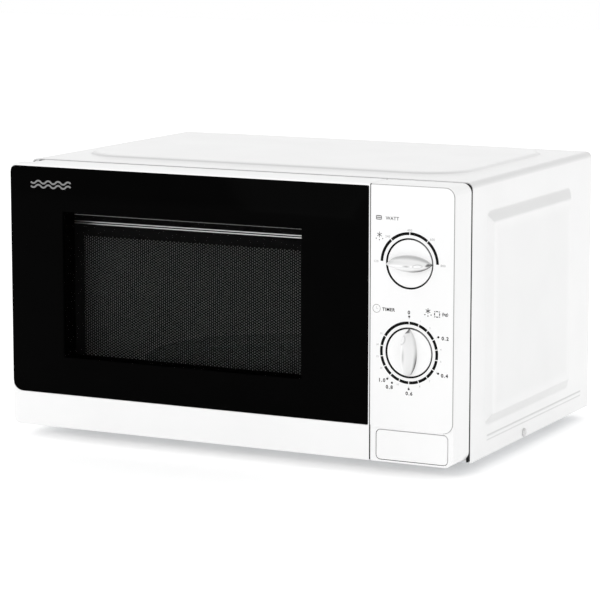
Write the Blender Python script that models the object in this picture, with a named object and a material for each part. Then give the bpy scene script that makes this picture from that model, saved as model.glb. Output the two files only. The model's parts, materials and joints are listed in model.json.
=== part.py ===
# Countertop microwave oven with a side-hinged door, two turning dials and a push button.
# Metres, +Z up, the door faces -Y. The origin is at the middle of the footprint, on the floor.
import math

import bmesh
import bpy
from mathutils import Matrix, Vector


def mm(value):
    return value * 0.001


# ---- case
CASE_WIDTH = mm(439.5)
CASE_DEPTH = mm(325)  # face of the door to the rear panel
CASE_HEIGHT = mm(244)  # without feet
FOOT_HEIGHT = mm(11)
FRONT_DEPTH = mm(37)  # thickness of the door and of the control panel
CONTROL_WIDTH = mm(78.25)
SHEET = mm(1.2)
CAVITY_SHEET = mm(1.0)
BEND_RADIUS = mm(6)
TOP_RISE = mm(2.8)
SIDE_RISE = mm(4)
KNOB_PROUD = mm(17)
REAR_RISE = mm(16.5)
# ---- clearances
FIT = mm(0.3)  # between pieces that touch
SEAM = mm(0.8)  # between the door and the control panel
RUNNING = mm(0.3)  # round a turning shaft
# ---- cavity
LAND_LEFT = mm(26.75)  # door overlap beside the cavity mouth
LAND_RIGHT = mm(27.2)
UNDERFLOOR = mm(23)
OVERHEAD = mm(15)
REAR_SPACE = mm(10)
# ---- door
DOOR_LOW = mm(2.5)
DOOR_TOP_DROP = mm(0.5)
GLASS_LOW = mm(33.8)
GLASS_TOP_DROP = mm(2.9)
GLASS_RIGHT = mm(1.3)
GLASS = mm(3)
WINDOW_LEFT = mm(54.75)
WINDOW_RIGHT = mm(65.2)
WINDOW_LOW = mm(68)
WINDOW_TOP = mm(42.5)
WINDOW_CORNER = mm(4)
SCREEN_DEPTH = mm(21)
DOOR_WALL = mm(2.5)
HINGE_INSET = mm(10.25)
HINGE_DEPTH = mm(23)
HINGE_ARM = mm(10)
HINGE_SHEET = mm(2.6)
PIN_RADIUS = mm(2.5)
PIN_LENGTH = mm(11)
HOOK_LIFT = mm(3.5)
HOOK_REACH = mm(27.5)  # behind the front edge of the case
# ---- controls
DIAL_INSET = mm(36.6)  # dial centres from the left edge of the control panel
POWER_DROP = mm(67.5)  # dial centres below the top of the case
TIMER_DROP = mm(144.2)
KNOB_RADIUS = mm(20.8)
KNOB_RING = mm(1)  # open ring round each knob in its well
WELL_DEPTH = mm(3.8)
BLADE_WIDTH = mm(13.5)
SHAFT_RADIUS = mm(3)
BUTTON_WIDTH = mm(67)
BUTTON_HEIGHT = mm(26)
BUTTON_LOW = mm(4.8)
BUTTON_INSET = mm(6)
# ---- turntable
PLATE_MARGIN = mm(15.4)
ROLLER_RADIUS = mm(7.5)
ROLLER_WIDTH = mm(7)
TRACK_RADIUS = mm(91.5)
# ---- works
WAVEGUIDE_DEPTH = mm(25)
MAGNETRON_WIDTH = mm(92)
FAN_SIZE = mm(100)
FAN_DEPTH = mm(30)
MOTOR_DEPTH = mm(22)

# planes and places that follow from them
X0 = -CASE_WIDTH / 2
X1 = CASE_WIDTH / 2
Y0 = -CASE_DEPTH / 2
Y1 = CASE_DEPTH / 2
YB = Y0 + FRONT_DEPTH  # front edge of the cabinet
Z0 = FOOT_HEIGHT
Z1 = FOOT_HEIGHT + CASE_HEIGHT
SCREW_HEAD = mm(2.2)
SEAM_X = X1 - CONTROL_WIDTH
DOOR = (X0, SEAM_X - SEAM, Z0 + DOOR_LOW, Z1 - DOOR_TOP_DROP)
CAVITY = (X0 + LAND_LEFT, SEAM_X - LAND_RIGHT - SEAM, Z0 + UNDERFLOOR, Z1 - OVERHEAD)
PLATE_Y = (YB + 2 * FIT, YB + 2 * FIT + SHEET)  # front plate
CAVITY_Y = (PLATE_Y[1] + FIT, Y1 - REAR_SPACE)
CENTRE_X = (CAVITY[0] + CAVITY[1]) / 2
CENTRE_Y = (CAVITY_Y[0] + CAVITY_Y[1]) / 2
WINDOW = (DOOR[0] + WINDOW_LEFT, DOOR[1] - WINDOW_RIGHT, Z0 + WINDOW_LOW, Z1 - WINDOW_TOP)
GLASS_RECT = (X0, DOOR[1] - GLASS_RIGHT, Z0 + GLASS_LOW, Z1 - GLASS_TOP_DROP)
HINGE_X = X0 + HINGE_INSET
HINGE_Y = Y0 + HINGE_DEPTH
REAR_PANEL_Y = (Y1 - SHEET - mm(0.5), Y1 - mm(0.5))
DIAL_X = SEAM_X + DIAL_INSET
POWER_Z = Z1 - POWER_DROP
TIMER_Z = Z1 - TIMER_DROP
WORKS_X = CAVITY[1] + CAVITY_SHEET  # inner side of the works compartment
SHIFT = Vector(((SCREW_HEAD - SIDE_RISE) / 2, (KNOB_PROUD - REAR_RISE) / 2, 0))

AXIS_TURN = {
    "X": Matrix.Rotation(math.radians(90), 4, "Y"),
    "Y": Matrix.Rotation(math.radians(-90), 4, "X"),
    "Z": Matrix(),
}

WHITE_PAINT = ("white_paint", (0.86, 0.87, 0.87), 0.35, 0)
WHITE_PLASTIC = ("white_plastic", (0.9, 0.9, 0.89), 0.4, 0)
GREY_PLASTIC = ("grey_plastic", (0.45, 0.46, 0.47), 0.5, 0)
DARK_PLASTIC = ("dark_plastic", (0.06, 0.06, 0.065), 0.45, 0)
BLACK_GLASS = ("black_glass", (0.01, 0.01, 0.012), 0.08, 0)
CLEAR_GLASS = ("clear_glass", (0.8, 0.86, 0.86), 0.05, 0)
GALVANISED = ("galvanised", (0.62, 0.64, 0.65), 0.38, 1)
BRIGHT_STEEL = ("bright_steel", (0.7, 0.7, 0.7), 0.25, 1)
IRON = ("iron", (0.24, 0.23, 0.22), 0.6, 1)
COPPER = ("copper", (0.72, 0.36, 0.2), 0.35, 1)
ALUMINIUM = ("aluminium", (0.75, 0.76, 0.77), 0.3, 1)
RUBBER = ("rubber", (0.05, 0.05, 0.05), 0.85, 0)
MICA = ("mica", (0.62, 0.56, 0.45), 0.55, 0)
BOARD = ("board", (0.1, 0.3, 0.16), 0.5, 0)


# ---- tools
def finishOf(finish):
    name, color, roughness, metallic = finish
    found = bpy.data.materials.get(name)
    if found:
        return found
    material = bpy.data.materials.new(name)
    material.use_nodes = True
    shader = material.node_tree.nodes["Principled BSDF"]
    shader.inputs["Base Color"].default_value = (*color, 1)
    shader.inputs["Roughness"].default_value = roughness
    shader.inputs["Metallic"].default_value = metallic
    material.diffuse_color = (*color, 1)
    return material


def object_from(name, bm, pivot):
    bmesh.ops.recalc_face_normals(bm, faces=bm.faces)
    bmesh.ops.translate(bm, verts=bm.verts, vec=-Vector(pivot))
    mesh = bpy.data.meshes.new(name)
    bm.to_mesh(mesh)
    bm.free()
    obj = bpy.data.objects.new(name, mesh)
    bpy.context.scene.collection.objects.link(obj)
    obj.location = pivot
    obj.parent = oven
    return obj


def piece(name, bm, finish, pivot=(0, 0, 0)):
    """A sub-part, with its origin at pivot."""
    obj = object_from(name, bm, pivot)
    obj.data.materials.append(finishOf(finish))
    obj.data.shade_smooth()
    obj.data.set_sharp_from_angle(angle=math.radians(35))
    return obj


def combine(target, operation, bm):
    tool = object_from(f"{target.name}_{operation.lower()}_{len(target.modifiers)}", bm, (0, 0, 0))
    tool.hide_render = True
    tool.display_type = "WIRE"
    modifier = target.modifiers.new(operation.title(), "BOOLEAN")
    modifier.operation = operation
    modifier.object = tool


def cut(target, bm):
    combine(target, "DIFFERENCE", bm)


def join(target, bm):
    combine(target, "UNION", bm)


def block(x, y, z, bm=None):
    """A box between three (low, high) pairs."""
    bm = bm or bmesh.new()
    low = Vector((x[0], y[0], z[0]))
    high = Vector((x[1], y[1], z[1]))
    place = Matrix.Translation((low + high) / 2) @ Matrix.Diagonal((*(high - low), 1))
    bmesh.ops.create_cube(bm, size=1, matrix=place)
    return bm


def drum(axis, centre, radius, span, segments=20, end_radius=None, bm=None):
    """A cylinder along an axis, or a cone when its radius at the high end differs."""
    bm = bm or bmesh.new()
    place = list(centre)
    place.insert("XYZ".index(axis), (span[0] + span[1]) / 2)
    bmesh.ops.create_cone(
        bm, cap_ends=True, segments=segments, radius1=radius,
        radius2=radius if end_radius is None else end_radius,
        depth=span[1] - span[0], matrix=Matrix.Translation(place) @ AXIS_TURN[axis])
    return bm


def lift(axis, a, b, height):
    """The 3-D point at (a, b) across an axis and height along it."""
    point = [a, b]
    point.insert("XYZ".index(axis), height)
    return point


def skin(axis, loops, closed=False, bm=None):
    """A solid through outlines of equal count, each an (outline, height) pair; closed joins last to first."""
    bm = bm or bmesh.new()
    rows = [[bm.verts.new(lift(axis, a, b, height)) for a, b in outline] for outline, height in loops]
    pairs = list(zip(rows, rows[1:]))
    if closed:
        pairs.append((rows[-1], rows[0]))
    else:
        bm.faces.new(rows[0])
        bm.faces.new(rows[-1])
    for low, high in pairs:
        for i in range(len(low)):
            j = (i + 1) % len(low)
            bm.faces.new((low[i], low[j], high[j], high[i]))
    return bm


def plate(axis, outline, span):
    return skin(axis, [(outline, span[0]), (outline, span[1])])


def rect(box, grow=0):
    """Four corners of (low a, high a, low b, high b), grown on every side."""
    a0, a1, b0, b1 = box
    return [(a0 - grow, b0 - grow), (a1 + grow, b0 - grow), (a1 + grow, b1 + grow), (a0 - grow, b1 + grow)]


def rounded(box, radii, steps=5, grow=0):
    """A rectangle with rounded corners, from low-low round to low-high."""
    if not isinstance(radii, (tuple, list)):
        radii = (radii,) * 4
    points = []
    inward = ((1, 1), (-1, 1), (-1, -1), (1, -1))
    for index, corner in enumerate(rect(box, grow)):
        radius = radii[index]
        centre = (corner[0] + inward[index][0] * radius, corner[1] + inward[index][1] * radius)
        for step in range(steps + 1):
            angle = math.pi + index * math.pi / 2 + step / steps * math.pi / 2
            points.append((centre[0] + radius * math.cos(angle), centre[1] + radius * math.sin(angle)))
    return points


def turned(axis, centre, profile, segments=24, closed=False, start=0.0):
    """Profile points (radius, height along the axis) spun a full turn."""
    bm = bmesh.new()
    verts = [bm.verts.new((radius, 0, height)) for radius, height in profile]
    edges = [bm.edges.new(pair) for pair in zip(verts, verts[1:])]
    if closed:
        edges.append(bm.edges.new((verts[-1], verts[0])))
    bmesh.ops.spin(
        bm, geom=verts + edges, axis=(0, 0, 1), cent=(0, 0, 0), steps=segments,
        angle=math.tau, use_merge=True)
    bmesh.ops.remove_doubles(bm, verts=bm.verts, dist=1e-6)
    place = list(centre)
    place.insert("XYZ".index(axis), start)
    bmesh.ops.transform(bm, matrix=Matrix.Translation(place) @ AXIS_TURN[axis], verts=bm.verts)
    return bm


def around(centre, half):
    return (centre - half, centre + half)


def inside(box, wall):
    return (box[0] + wall, box[1] - wall, box[2] + wall, box[3] - wall)


# ---- case
FLANGE_Y = (REAR_PANEL_Y[0] - FIT - SHEET, REAR_PANEL_Y[0] - FIT)
FLANGE_WIDTH = mm(12)
SIDE_SCREW_Y = mm(-1)
SIDE_SCREW_Z = Z0 + mm(4.5)
SCREW_RADIUS = mm(1.7)
SCREW_HOLE = mm(2.1)
PAN_LIP = mm(8)
FOOT_X = (X0 + mm(42), X1 - mm(42))
FOOT_Y = (Y0 + mm(80), Y1 - mm(35))
PEG_RADIUS = mm(3)
FAN_X = WORKS_X + FIT + FAN_SIZE / 2 + mm(1.5)
FAN_Z = Z0 + mm(139)
GLAND_X = X1 - mm(30)
GLAND_Z = Z0 + mm(34)
GLAND_NECK = mm(6.7)
REAR_SCREWS = [(x, z) for x in (X0 + mm(9), X1 - mm(9)) for z in (Z0 + mm(22), Z1 - mm(22))]
STANDOFFS = [(X0 + mm(70), Z1 - mm(38)), (X1 - mm(70), Z1 - mm(38))]


def arch(inset, low, steps=5):
    """The case's outline from the front, open at the bottom: up the left, over and down the right."""
    radius = BEND_RADIUS - inset
    points = [(X0 + inset, low)]
    for centre, start in ((X0 + BEND_RADIUS, math.pi), (X1 - BEND_RADIUS, math.pi / 2)):
        for step in range(steps + 1):
            angle = start - step / steps * math.pi / 2
            points.append((centre + radius * math.cos(angle), Z1 - BEND_RADIUS + radius * math.sin(angle)))
    return points + [(X1 - inset, low)]


def pressing(axis, box, radii, ramp, base, top):
    """A raised field with sloping sides."""
    wide = rounded(box, radii)
    narrow = rounded(inside(box, ramp), [max(radius - ramp, mm(2)) for radius in radii])
    return skin(axis, [(wide, base), (narrow, top)])


def make_cabinet():
    outline = arch(0, Z0) + arch(SHEET, Z0)[::-1]
    cabinet = piece("outer_cabinet", plate("Y", outline, (YB, Y1)), WHITE_PAINT)
    rim = SHEET / 2
    flange = arch(rim, Z0 + mm(2)) + [(X1 - FLANGE_WIDTH, Z0 + mm(2)), (X1 - FLANGE_WIDTH, Z1 - FLANGE_WIDTH),
                                      (X0 + FLANGE_WIDTH, Z1 - FLANGE_WIDTH), (X0 + FLANGE_WIDTH, Z0 + mm(2))]
    join(cabinet, plate("Y", flange, FLANGE_Y))
    side = (YB + mm(30), Y1 - mm(52), Z0 + mm(26.5), Z0 + CASE_HEIGHT - mm(27.7))
    side_radii = [mm(10)] * 4
    top = (X0 + mm(30), X1 - mm(30), YB + mm(36), Y1 - mm(18))
    top_radii = [mm(46)] * 4
    join(cabinet, pressing("X", side, side_radii, mm(11), X1 - rim, X1 + SIDE_RISE))
    join(cabinet, pressing("Z", top, top_radii, mm(6), Z1 - rim, Z1 + TOP_RISE))
    inner_side = inside(side, SHEET / 2)
    inner_top = inside(top, SHEET / 2)
    cut(cabinet, pressing("X", inner_side, side_radii, mm(11), X1 - SHEET - mm(1), X1 + SIDE_RISE - SHEET))
    cut(cabinet, pressing("Z", inner_top, top_radii, mm(6), Z1 - SHEET - mm(1), Z1 + TOP_RISE - SHEET))
    slots = bmesh.new()
    for row in range(2):
        for column in range(7):
            y = Y1 - mm(60) - column * mm(9)
            z = Z1 - mm(80) - row * mm(38)
            block((X0 - mm(1), X0 + mm(3)), around(y, mm(1.75)), around(z, mm(15)), slots)
    cut(cabinet, slots)
    holes = bmesh.new()
    for x in (X0, X1):
        drum("X", (SIDE_SCREW_Y, SIDE_SCREW_Z), SCREW_HOLE, around(x, mm(4)), 12, bm=holes)
    for x, z in REAR_SCREWS:
        drum("Y", (x, z), SCREW_HOLE, (FLANGE_Y[0] - mm(1), FLANGE_Y[1] + mm(1)), 12, bm=holes)
    cut(cabinet, holes)


def make_base():
    left = X0 + SHEET + FIT
    right = X1 - SHEET - FIT
    outline = [(left, Z0), (right, Z0), (right, Z0 + PAN_LIP), (right - SHEET, Z0 + PAN_LIP),
               (right - SHEET, Z0 + SHEET), (left + SHEET, Z0 + SHEET), (left + SHEET, Z0 + PAN_LIP),
               (left, Z0 + PAN_LIP)]
    base = piece("base_plate", plate("Y", outline, (PLATE_Y[1] + FIT, FLANGE_Y[0] - FIT)), GALVANISED)
    holes = bmesh.new()
    for x in FOOT_X:
        for y in FOOT_Y:
            drum("Z", (x, y), PEG_RADIUS + FIT, around(Z0, mm(4)), 16, bm=holes)
    for x in (X0, X1):
        drum("X", (SIDE_SCREW_Y, SIDE_SCREW_Z), SCREW_HOLE, around(x, mm(6)), 12, bm=holes)
    cut(base, holes)
    names = ("foot_front_left", "foot_rear_left", "foot_front_right", "foot_rear_right")
    places = [(x, y) for x in FOOT_X for y in FOOT_Y]
    profile = [(0, 0), (mm(8.5), 0), (mm(9.5), mm(1)), (mm(10.5), FOOT_HEIGHT - FIT),
               (PEG_RADIUS, FOOT_HEIGHT - FIT), (PEG_RADIUS, FOOT_HEIGHT + SHEET), (0, FOOT_HEIGHT + SHEET)]
    for name, place in zip(names, places):
        piece(name, turned("Z", place, profile, 16), RUBBER)


def make_screws():
    head = mm(4)
    dome = [(0, SCREW_HEAD), (head * 0.55, SCREW_HEAD * 0.85), (head, SCREW_HEAD * 0.35), (head, FIT / 2),
            (SCREW_RADIUS, FIT / 2), (SCREW_RADIUS, -mm(6)), (0, -mm(6))]
    mirrored = [(radius, -height) for radius, height in dome]
    centre = (SIDE_SCREW_Y, SIDE_SCREW_Z)
    piece("side_screw_left", turned("X", centre, mirrored, 12, start=X0), BRIGHT_STEEL)
    piece("side_screw_right", turned("X", centre, dome, 12, start=X1), BRIGHT_STEEL)
    for index, place in enumerate(REAR_SCREWS):
        bm = turned("Y", place, dome, 12, start=REAR_PANEL_Y[1])
        piece(f"rear_screw_{index + 1}", bm, BRIGHT_STEEL)


def make_rear_panel():
    gap = SHEET + FIT
    bend = BEND_RADIUS - SHEET
    outline = rounded((X0 + gap, X1 - gap, Z0, Z1 - gap), (mm(1), mm(1), bend, bend))
    panel = piece("rear_panel", plate("Y", outline, REAR_PANEL_Y), GALVANISED)
    radius = mm(15)
    tip = mm(11)
    low = REAR_PANEL_Y[0] + SHEET / 2
    high = Y1 + REAR_RISE
    for x, z in STANDOFFS:
        join(panel, drum("Y", (x, z), radius, (low, high), 20, tip))
    for x, z in STANDOFFS:
        cut(panel, drum("Y", (x, z), radius - SHEET, (low - mm(2), high - SHEET), 20, tip - SHEET))
    holes = bmesh.new()
    span = (REAR_PANEL_Y[0] - mm(1), REAR_PANEL_Y[1] + mm(1))
    rows = 7
    for row in range(rows):
        offset = (row - (rows - 1) / 2) * mm(12)
        half = math.sqrt(mm(43) ** 2 - offset ** 2)
        block(around(FAN_X, half), span, around(FAN_Z + offset, mm(3)), holes)
    for column in range(6):
        block(around(X0 + mm(60) + column * mm(16), mm(3)), span, around(Z0 + mm(90), mm(26)), holes)
    for place in REAR_SCREWS:
        drum("Y", place, SCREW_HOLE, span, 12, bm=holes)
    drum("Y", (GLAND_X, GLAND_Z), GLAND_NECK + FIT, span, 20, bm=holes)
    cut(panel, holes)
    inner = REAR_PANEL_Y[0] - FIT
    outer = REAR_PANEL_Y[1] + FIT
    profile = [(mm(3.8), inner - mm(2)), (mm(9), inner - mm(2)), (mm(9), inner), (GLAND_NECK, inner),
               (GLAND_NECK, outer), (mm(11), outer), (mm(9.5), outer + mm(3)), (mm(3.8), outer + mm(3))]
    piece("cord_gland", turned("Y", (GLAND_X, GLAND_Z), profile, 20, closed=True), DARK_PLASTIC)


# ---- cavity and front plate
HOOK_X = around(DOOR[1] - mm(11.7), mm(2.5))
HOOK_SLOT_X = (HOOK_X[0] - mm(2), HOOK_X[1] + mm(4))
HOOK_ARM = mm(8)
HOOK_BARB = mm(4)
HOOKS_Z = (Z0 + mm(55), Z1 - mm(61))  # underside of each hook arm
HOOK_TIP = YB + HOOK_REACH
LEVER_Y = YB + mm(10.5)
LEVER_Z = HOOKS_Z[0] - mm(14)
PLUNGER_X = (SEAM_X + mm(9.5), SEAM_X + mm(17.5))
PLUNGER_Z = (Z0 + mm(10), Z0 + mm(18))
ARM_Z = {"lower": Z0 + mm(3.2), "upper": Z1 - mm(7)}  # underside of each hinge arm
SHAFT_HOLE = mm(8)


def hook_slots(span, grow=0.0):
    bm = bmesh.new()
    for z in HOOKS_Z:
        low = z - HOOK_BARB - mm(2) - grow
        high = z + HOOK_ARM + HOOK_LIFT + mm(2.5) + grow
        block((HOOK_SLOT_X[0] - grow, HOOK_SLOT_X[1] + grow), span, (low, high), bm)
    return bm


def make_front_plate():
    gap = SHEET + FIT
    corner = BEND_RADIUS - SHEET
    outline = rounded((X0 + gap, X1 - gap, Z0 + gap, Z1 - gap), (mm(1), mm(1), corner, corner))
    front = piece("front_plate", plate("Y", outline, PLATE_Y), WHITE_PAINT)
    span = (PLATE_Y[0] - mm(1), PLATE_Y[1] + mm(1))
    mouth = plate("Y", rounded(CAVITY, mm(5)), span)
    cut(front, mouth)
    cut(front, hook_slots(span))
    holes = block((PLUNGER_X[0] - mm(3), PLUNGER_X[1] + mm(3)), span,
                  (PLUNGER_Z[0] - mm(3), PLUNGER_Z[1] + mm(3)))
    for low in ARM_Z.values():
        block(around(HINGE_X, HINGE_ARM / 2 + FIT), span, (low - FIT, low + HINGE_SHEET + FIT), holes)
    cut(front, holes)


def make_cavity():
    wall = CAVITY_SHEET
    outer = plate("Y", rounded(CAVITY, mm(6), grow=wall), (CAVITY_Y[0], CAVITY_Y[1] + wall))
    cavity = piece("oven_cavity", outer, WHITE_PAINT)
    cut(cavity, plate("Y", rounded(CAVITY, mm(5)), (CAVITY_Y[0] - mm(1), CAVITY_Y[1])))
    holes = drum("Z", (CENTRE_X, CENTRE_Y), SHAFT_HOLE, around(CAVITY[2], mm(3)), 20)
    block(around(CAVITY[1], mm(3)), GUIDE_PORT_Y, GUIDE_PORT_Z, holes)
    drum("X", (LAMP_Y, LAMP_Z), LAMP_RADIUS - mm(2), around(CAVITY[1], mm(3)), 20, bm=holes)
    cut(cavity, holes)


# ---- microwave works, from the rear forwards
FAN_Y = (FLANGE_Y[0] - FIT - FAN_DEPTH, FLANGE_Y[0] - FIT)
MOTOR_Y = (FAN_Y[0] - mm(5) - MOTOR_DEPTH, FAN_Y[0] - mm(5))
MAGNETRON_Y = (MOTOR_Y[0] - mm(3) - MAGNETRON_WIDTH, MOTOR_Y[0] - mm(3))
MAGNETRON_Z = (Z1 - mm(105), Z1 - mm(25))
GUIDE_X = (WORKS_X + FIT, WORKS_X + FIT + WAVEGUIDE_DEPTH)
GUIDE_PORT_Y = around((MAGNETRON_Y[0] + MAGNETRON_Y[1]) / 2, mm(32))
GUIDE_PORT_Z = (MAGNETRON_Z[0] - mm(24), MAGNETRON_Z[0] + mm(8))
LAMP_Y = MAGNETRON_Y[0] - mm(24)
LAMP_Z = Z1 - mm(50)
LAMP_RADIUS = mm(12)
TRANSFORMER_Y = (YB + mm(34), YB + mm(34) + mm(88))
TRANSFORMER_X = (WORKS_X + mm(6), WORKS_X + mm(6) + mm(92))


def make_waveguide():
    y = (MAGNETRON_Y[0] + mm(4), MAGNETRON_Y[1] - mm(4))
    z = (GUIDE_PORT_Z[0] - mm(5), MAGNETRON_Z[1] - mm(4))
    guide = piece("waveguide", block(GUIDE_X, y, z), GALVANISED)
    hollow = block((GUIDE_X[0] - mm(1), GUIDE_X[1] - SHEET), (y[0] + SHEET, y[1] - SHEET),
                   (z[0] + SHEET, z[1] - SHEET))
    cut(guide, hollow)
    centre = ((MAGNETRON_Y[0] + MAGNETRON_Y[1]) / 2, (MAGNETRON_Z[0] + MAGNETRON_Z[1]) / 2 + mm(8))
    antenna = mm(9)
    cut(guide, drum("X", centre, antenna + mm(1), around(GUIDE_X[1], mm(4)), 20))
    cover_x = (CAVITY[1] - mm(1), CAVITY[1] - FIT)
    cover = rounded((GUIDE_PORT_Y[0] - mm(6), GUIDE_PORT_Y[1] + mm(6), GUIDE_PORT_Z[0] - mm(6),
                     GUIDE_PORT_Z[1] + mm(6)), mm(5), 3)
    piece("waveguide_cover", plate("X", cover, cover_x), MICA)
    return centre, antenna


def make_magnetron(centre, antenna):
    base = GUIDE_X[1] + FIT
    y = MAGNETRON_Y
    z = MAGNETRON_Z
    plate_box = (y[0], y[1], z[0], z[1])
    fin_box = inside(plate_box, mm(9))
    core_box = inside(plate_box, mm(16))
    filter_box = inside(plate_box, mm(12))
    loops = [(rect(plate_box), base), (rect(plate_box), base + mm(2)), (rect(core_box), base + mm(2.01))]
    fins = 6
    for fin in range(fins):
        x = base + mm(8) + fin * mm(6)
        loops += [(rect(core_box), x), (rect(fin_box), x + mm(0.01)), (rect(fin_box), x + mm(1.2)),
                  (rect(core_box), x + mm(1.21))]
    end = base + mm(8) + fins * mm(6)
    loops += [(rect(core_box), end), (rect(filter_box), end + mm(0.01)), (rect(filter_box), end + mm(26))]
    magnetron = piece("magnetron", skin("X", loops), ALUMINIUM)
    join(magnetron, drum("X", centre, antenna, (base - mm(17), base + mm(1)), 20, antenna * 0.8))


def make_fan():
    case = block(around(FAN_X, FAN_SIZE / 2), FAN_Y, around(FAN_Z, FAN_SIZE / 2))
    duct = piece("fan_housing", case, GREY_PLASTIC)
    throat = FAN_SIZE / 2 - mm(4)
    cut(duct, drum("Y", (FAN_X, FAN_Z), throat, (FAN_Y[0] - mm(1), FAN_Y[1] + mm(1)), 32))
    motor_half = (mm(28), mm(24))
    for side in (-1, 1):
        inner = FAN_X + side * (motor_half[0] + FIT)
        outer = FAN_X + side * (FAN_SIZE / 2 - mm(1))
        span = (min(inner, outer), max(inner, outer))
        strut = block(span, (FAN_Y[0] - mm(12), FAN_Y[0] - mm(7)), around(FAN_Z, mm(6)))
        join(duct, strut)
        tip = (FAN_X + side * (throat + mm(1)), outer)
        join(duct, block((min(tip), max(tip)), (FAN_Y[0] - mm(11), FAN_Y[0] + mm(2)), around(FAN_Z, mm(5))))
    x, z = around(FAN_X, motor_half[0]), around(FAN_Z, motor_half[1])
    motor = piece("fan_motor", block(x, MOTOR_Y, z), IRON)
    bearing = mm(9)
    join(motor, drum("Y", (FAN_X, FAN_Z), bearing, (MOTOR_Y[0] - mm(2), MOTOR_Y[1] + mm(3)), 16))
    shaft_start = MOTOR_Y[1] + mm(3) + FIT
    hub_y = (FAN_Y[0] + mm(5), FAN_Y[0] + mm(19))
    pivot = (FAN_X, hub_y[0], FAN_Z)
    blade = piece("fan_blade", drum("Y", (FAN_X, FAN_Z), mm(11), hub_y, 20), DARK_PLASTIC, pivot)
    join(blade, drum("Y", (FAN_X, FAN_Z), mm(2.5), (shaft_start, hub_y[0] + mm(1)), 10))
    vanes = 5
    middle = (hub_y[0] + hub_y[1]) / 2
    for vane in range(vanes):
        bm = block((mm(8), throat - mm(3)), around(0, mm(0.8)), around(0, mm(9)))
        turn = (Matrix.Translation((FAN_X, middle, FAN_Z)) @ Matrix.Rotation(math.tau * vane / vanes, 4, "Y")
                @ Matrix.Rotation(math.radians(50), 4, "X"))
        bmesh.ops.transform(bm, matrix=turn, verts=bm.verts)
        join(blade, bm)


def make_power_supply():
    floor = Z0 + SHEET + FIT
    x, y = TRANSFORMER_X, around((TRANSFORMER_Y[0] + TRANSFORMER_Y[1]) / 2, mm(27))
    height = mm(76)
    limb = mm(15)
    core = piece("transformer_core", block(x, y, (floor, floor + height)), IRON)
    windows = bmesh.new()
    window_width = mm(14)
    window_z = (floor + limb, floor + height - limb)
    for low in (x[0] + limb, x[1] - limb - window_width):
        block((low, low + window_width), (y[0] - mm(1), y[1] + mm(1)), window_z, windows)
    cut(core, windows)
    wound = (x[0] + limb + FIT, x[1] - limb - FIT, TRANSFORMER_Y[0], TRANSFORMER_Y[1])
    limb_box = (x[0] + limb + window_width - FIT, x[1] - limb - window_width + FIT, y[0] - FIT, y[1] + FIT)
    z = (window_z[0] + FIT, window_z[1] - FIT)
    outer = rounded(wound, mm(8), 3)
    inner = rounded(limb_box, mm(0.2), 3)
    coil = skin("Z", [(outer, z[0]), (outer, z[1]), (inner, z[1]), (inner, z[0])], closed=True)
    piece("transformer_winding", coil, COPPER)
    can_y = (FLANGE_Y[0] - mm(60), FLANGE_Y[0] - mm(8))
    can = rounded((can_y[0], can_y[1], floor, floor + mm(32)), mm(15), 4)
    capacitor = piece("hv_capacitor", plate("X", can, (WORKS_X + mm(6), WORKS_X + mm(84))), ALUMINIUM)
    for y in (can_y[0] + mm(17), can_y[1] - mm(17)):
        join(capacitor, drum("X", (y, floor + mm(16)), mm(3), (WORKS_X + mm(83), WORKS_X + mm(92)), 10))
    diode_y = can_y[0] - mm(8)
    profile = [(0, 0), (mm(1), 0), (mm(1), mm(5)), (mm(3.5), mm(6)), (mm(3.5), mm(24)), (mm(1), mm(25)),
               (mm(1), mm(32)), (0, mm(32))]
    diode = turned("X", (diode_y, floor + mm(3.5)), profile, 12, start=WORKS_X + mm(20))
    piece("hv_diode", diode, DARK_PLASTIC)


def make_small_works():
    bulb_x = WORKS_X + FIT
    profile = [(0, 0), (mm(7), mm(1)), (mm(9), mm(6)), (mm(9), mm(14)), (LAMP_RADIUS, mm(16)),
               (LAMP_RADIUS, mm(24)), (mm(6), mm(27)), (0, mm(27))]
    piece("oven_lamp", turned("X", (LAMP_Y, LAMP_Z), profile, 16, start=bulb_x), CLEAR_GLASS)
    board_x = around((WORKS_X + X1) / 2 + mm(5), mm(34))
    board_z = Z1 - mm(26)
    board_y = (YB + mm(8), YB + mm(50))
    board = piece("noise_filter", block(board_x, board_y, (board_z, board_z + mm(1.6))), BOARD)
    choke = (board_x[0] + mm(22), board_y[0] + mm(20))
    join(board, drum("Z", choke, mm(12), (board_z + mm(1), board_z + mm(15)), 16))
    join(board, block((board_x[1] - mm(24), board_x[1] - mm(8)), (board_y[0] + mm(8), board_y[0] + mm(34)),
                      (board_z + mm(1), board_z + mm(13))))
    roof = CAVITY[3] + CAVITY_SHEET + FIT
    profile = [(0, 0), (mm(8), 0), (mm(8), mm(3)), (mm(6), mm(3)), (mm(6), mm(8)), (0, mm(8))]
    place = (CAVITY[1] - mm(30), CENTRE_Y)
    piece("thermal_cutout", turned("Z", place, profile, 16, start=roof), DARK_PLASTIC)


# ---- turntable
FLOOR = CAVITY[2]
PLATE_RADIUS = min(CAVITY[1] - CAVITY[0], CAVITY_Y[1] - CAVITY_Y[0]) / 2 - PLATE_MARGIN
PLATE_Z = FLOOR + 2 * ROLLER_RADIUS + FIT
RING_OUTER = TRACK_RADIUS - ROLLER_WIDTH / 2 - mm(1.2)
ROLLER_Z = FLOOR + ROLLER_RADIUS + FIT / 2
AXLE_RADIUS = mm(2)
LOBES = 3


def spoke(angle, span, half_width, z):
    """A radial bar from the turntable's axis."""
    bm = block(span, around(0, half_width), z)
    turn = Matrix.Translation((CENTRE_X, CENTRE_Y, 0)) @ Matrix.Rotation(angle, 4, "Z")
    bmesh.ops.transform(bm, matrix=turn, verts=bm.verts)
    return bm


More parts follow.
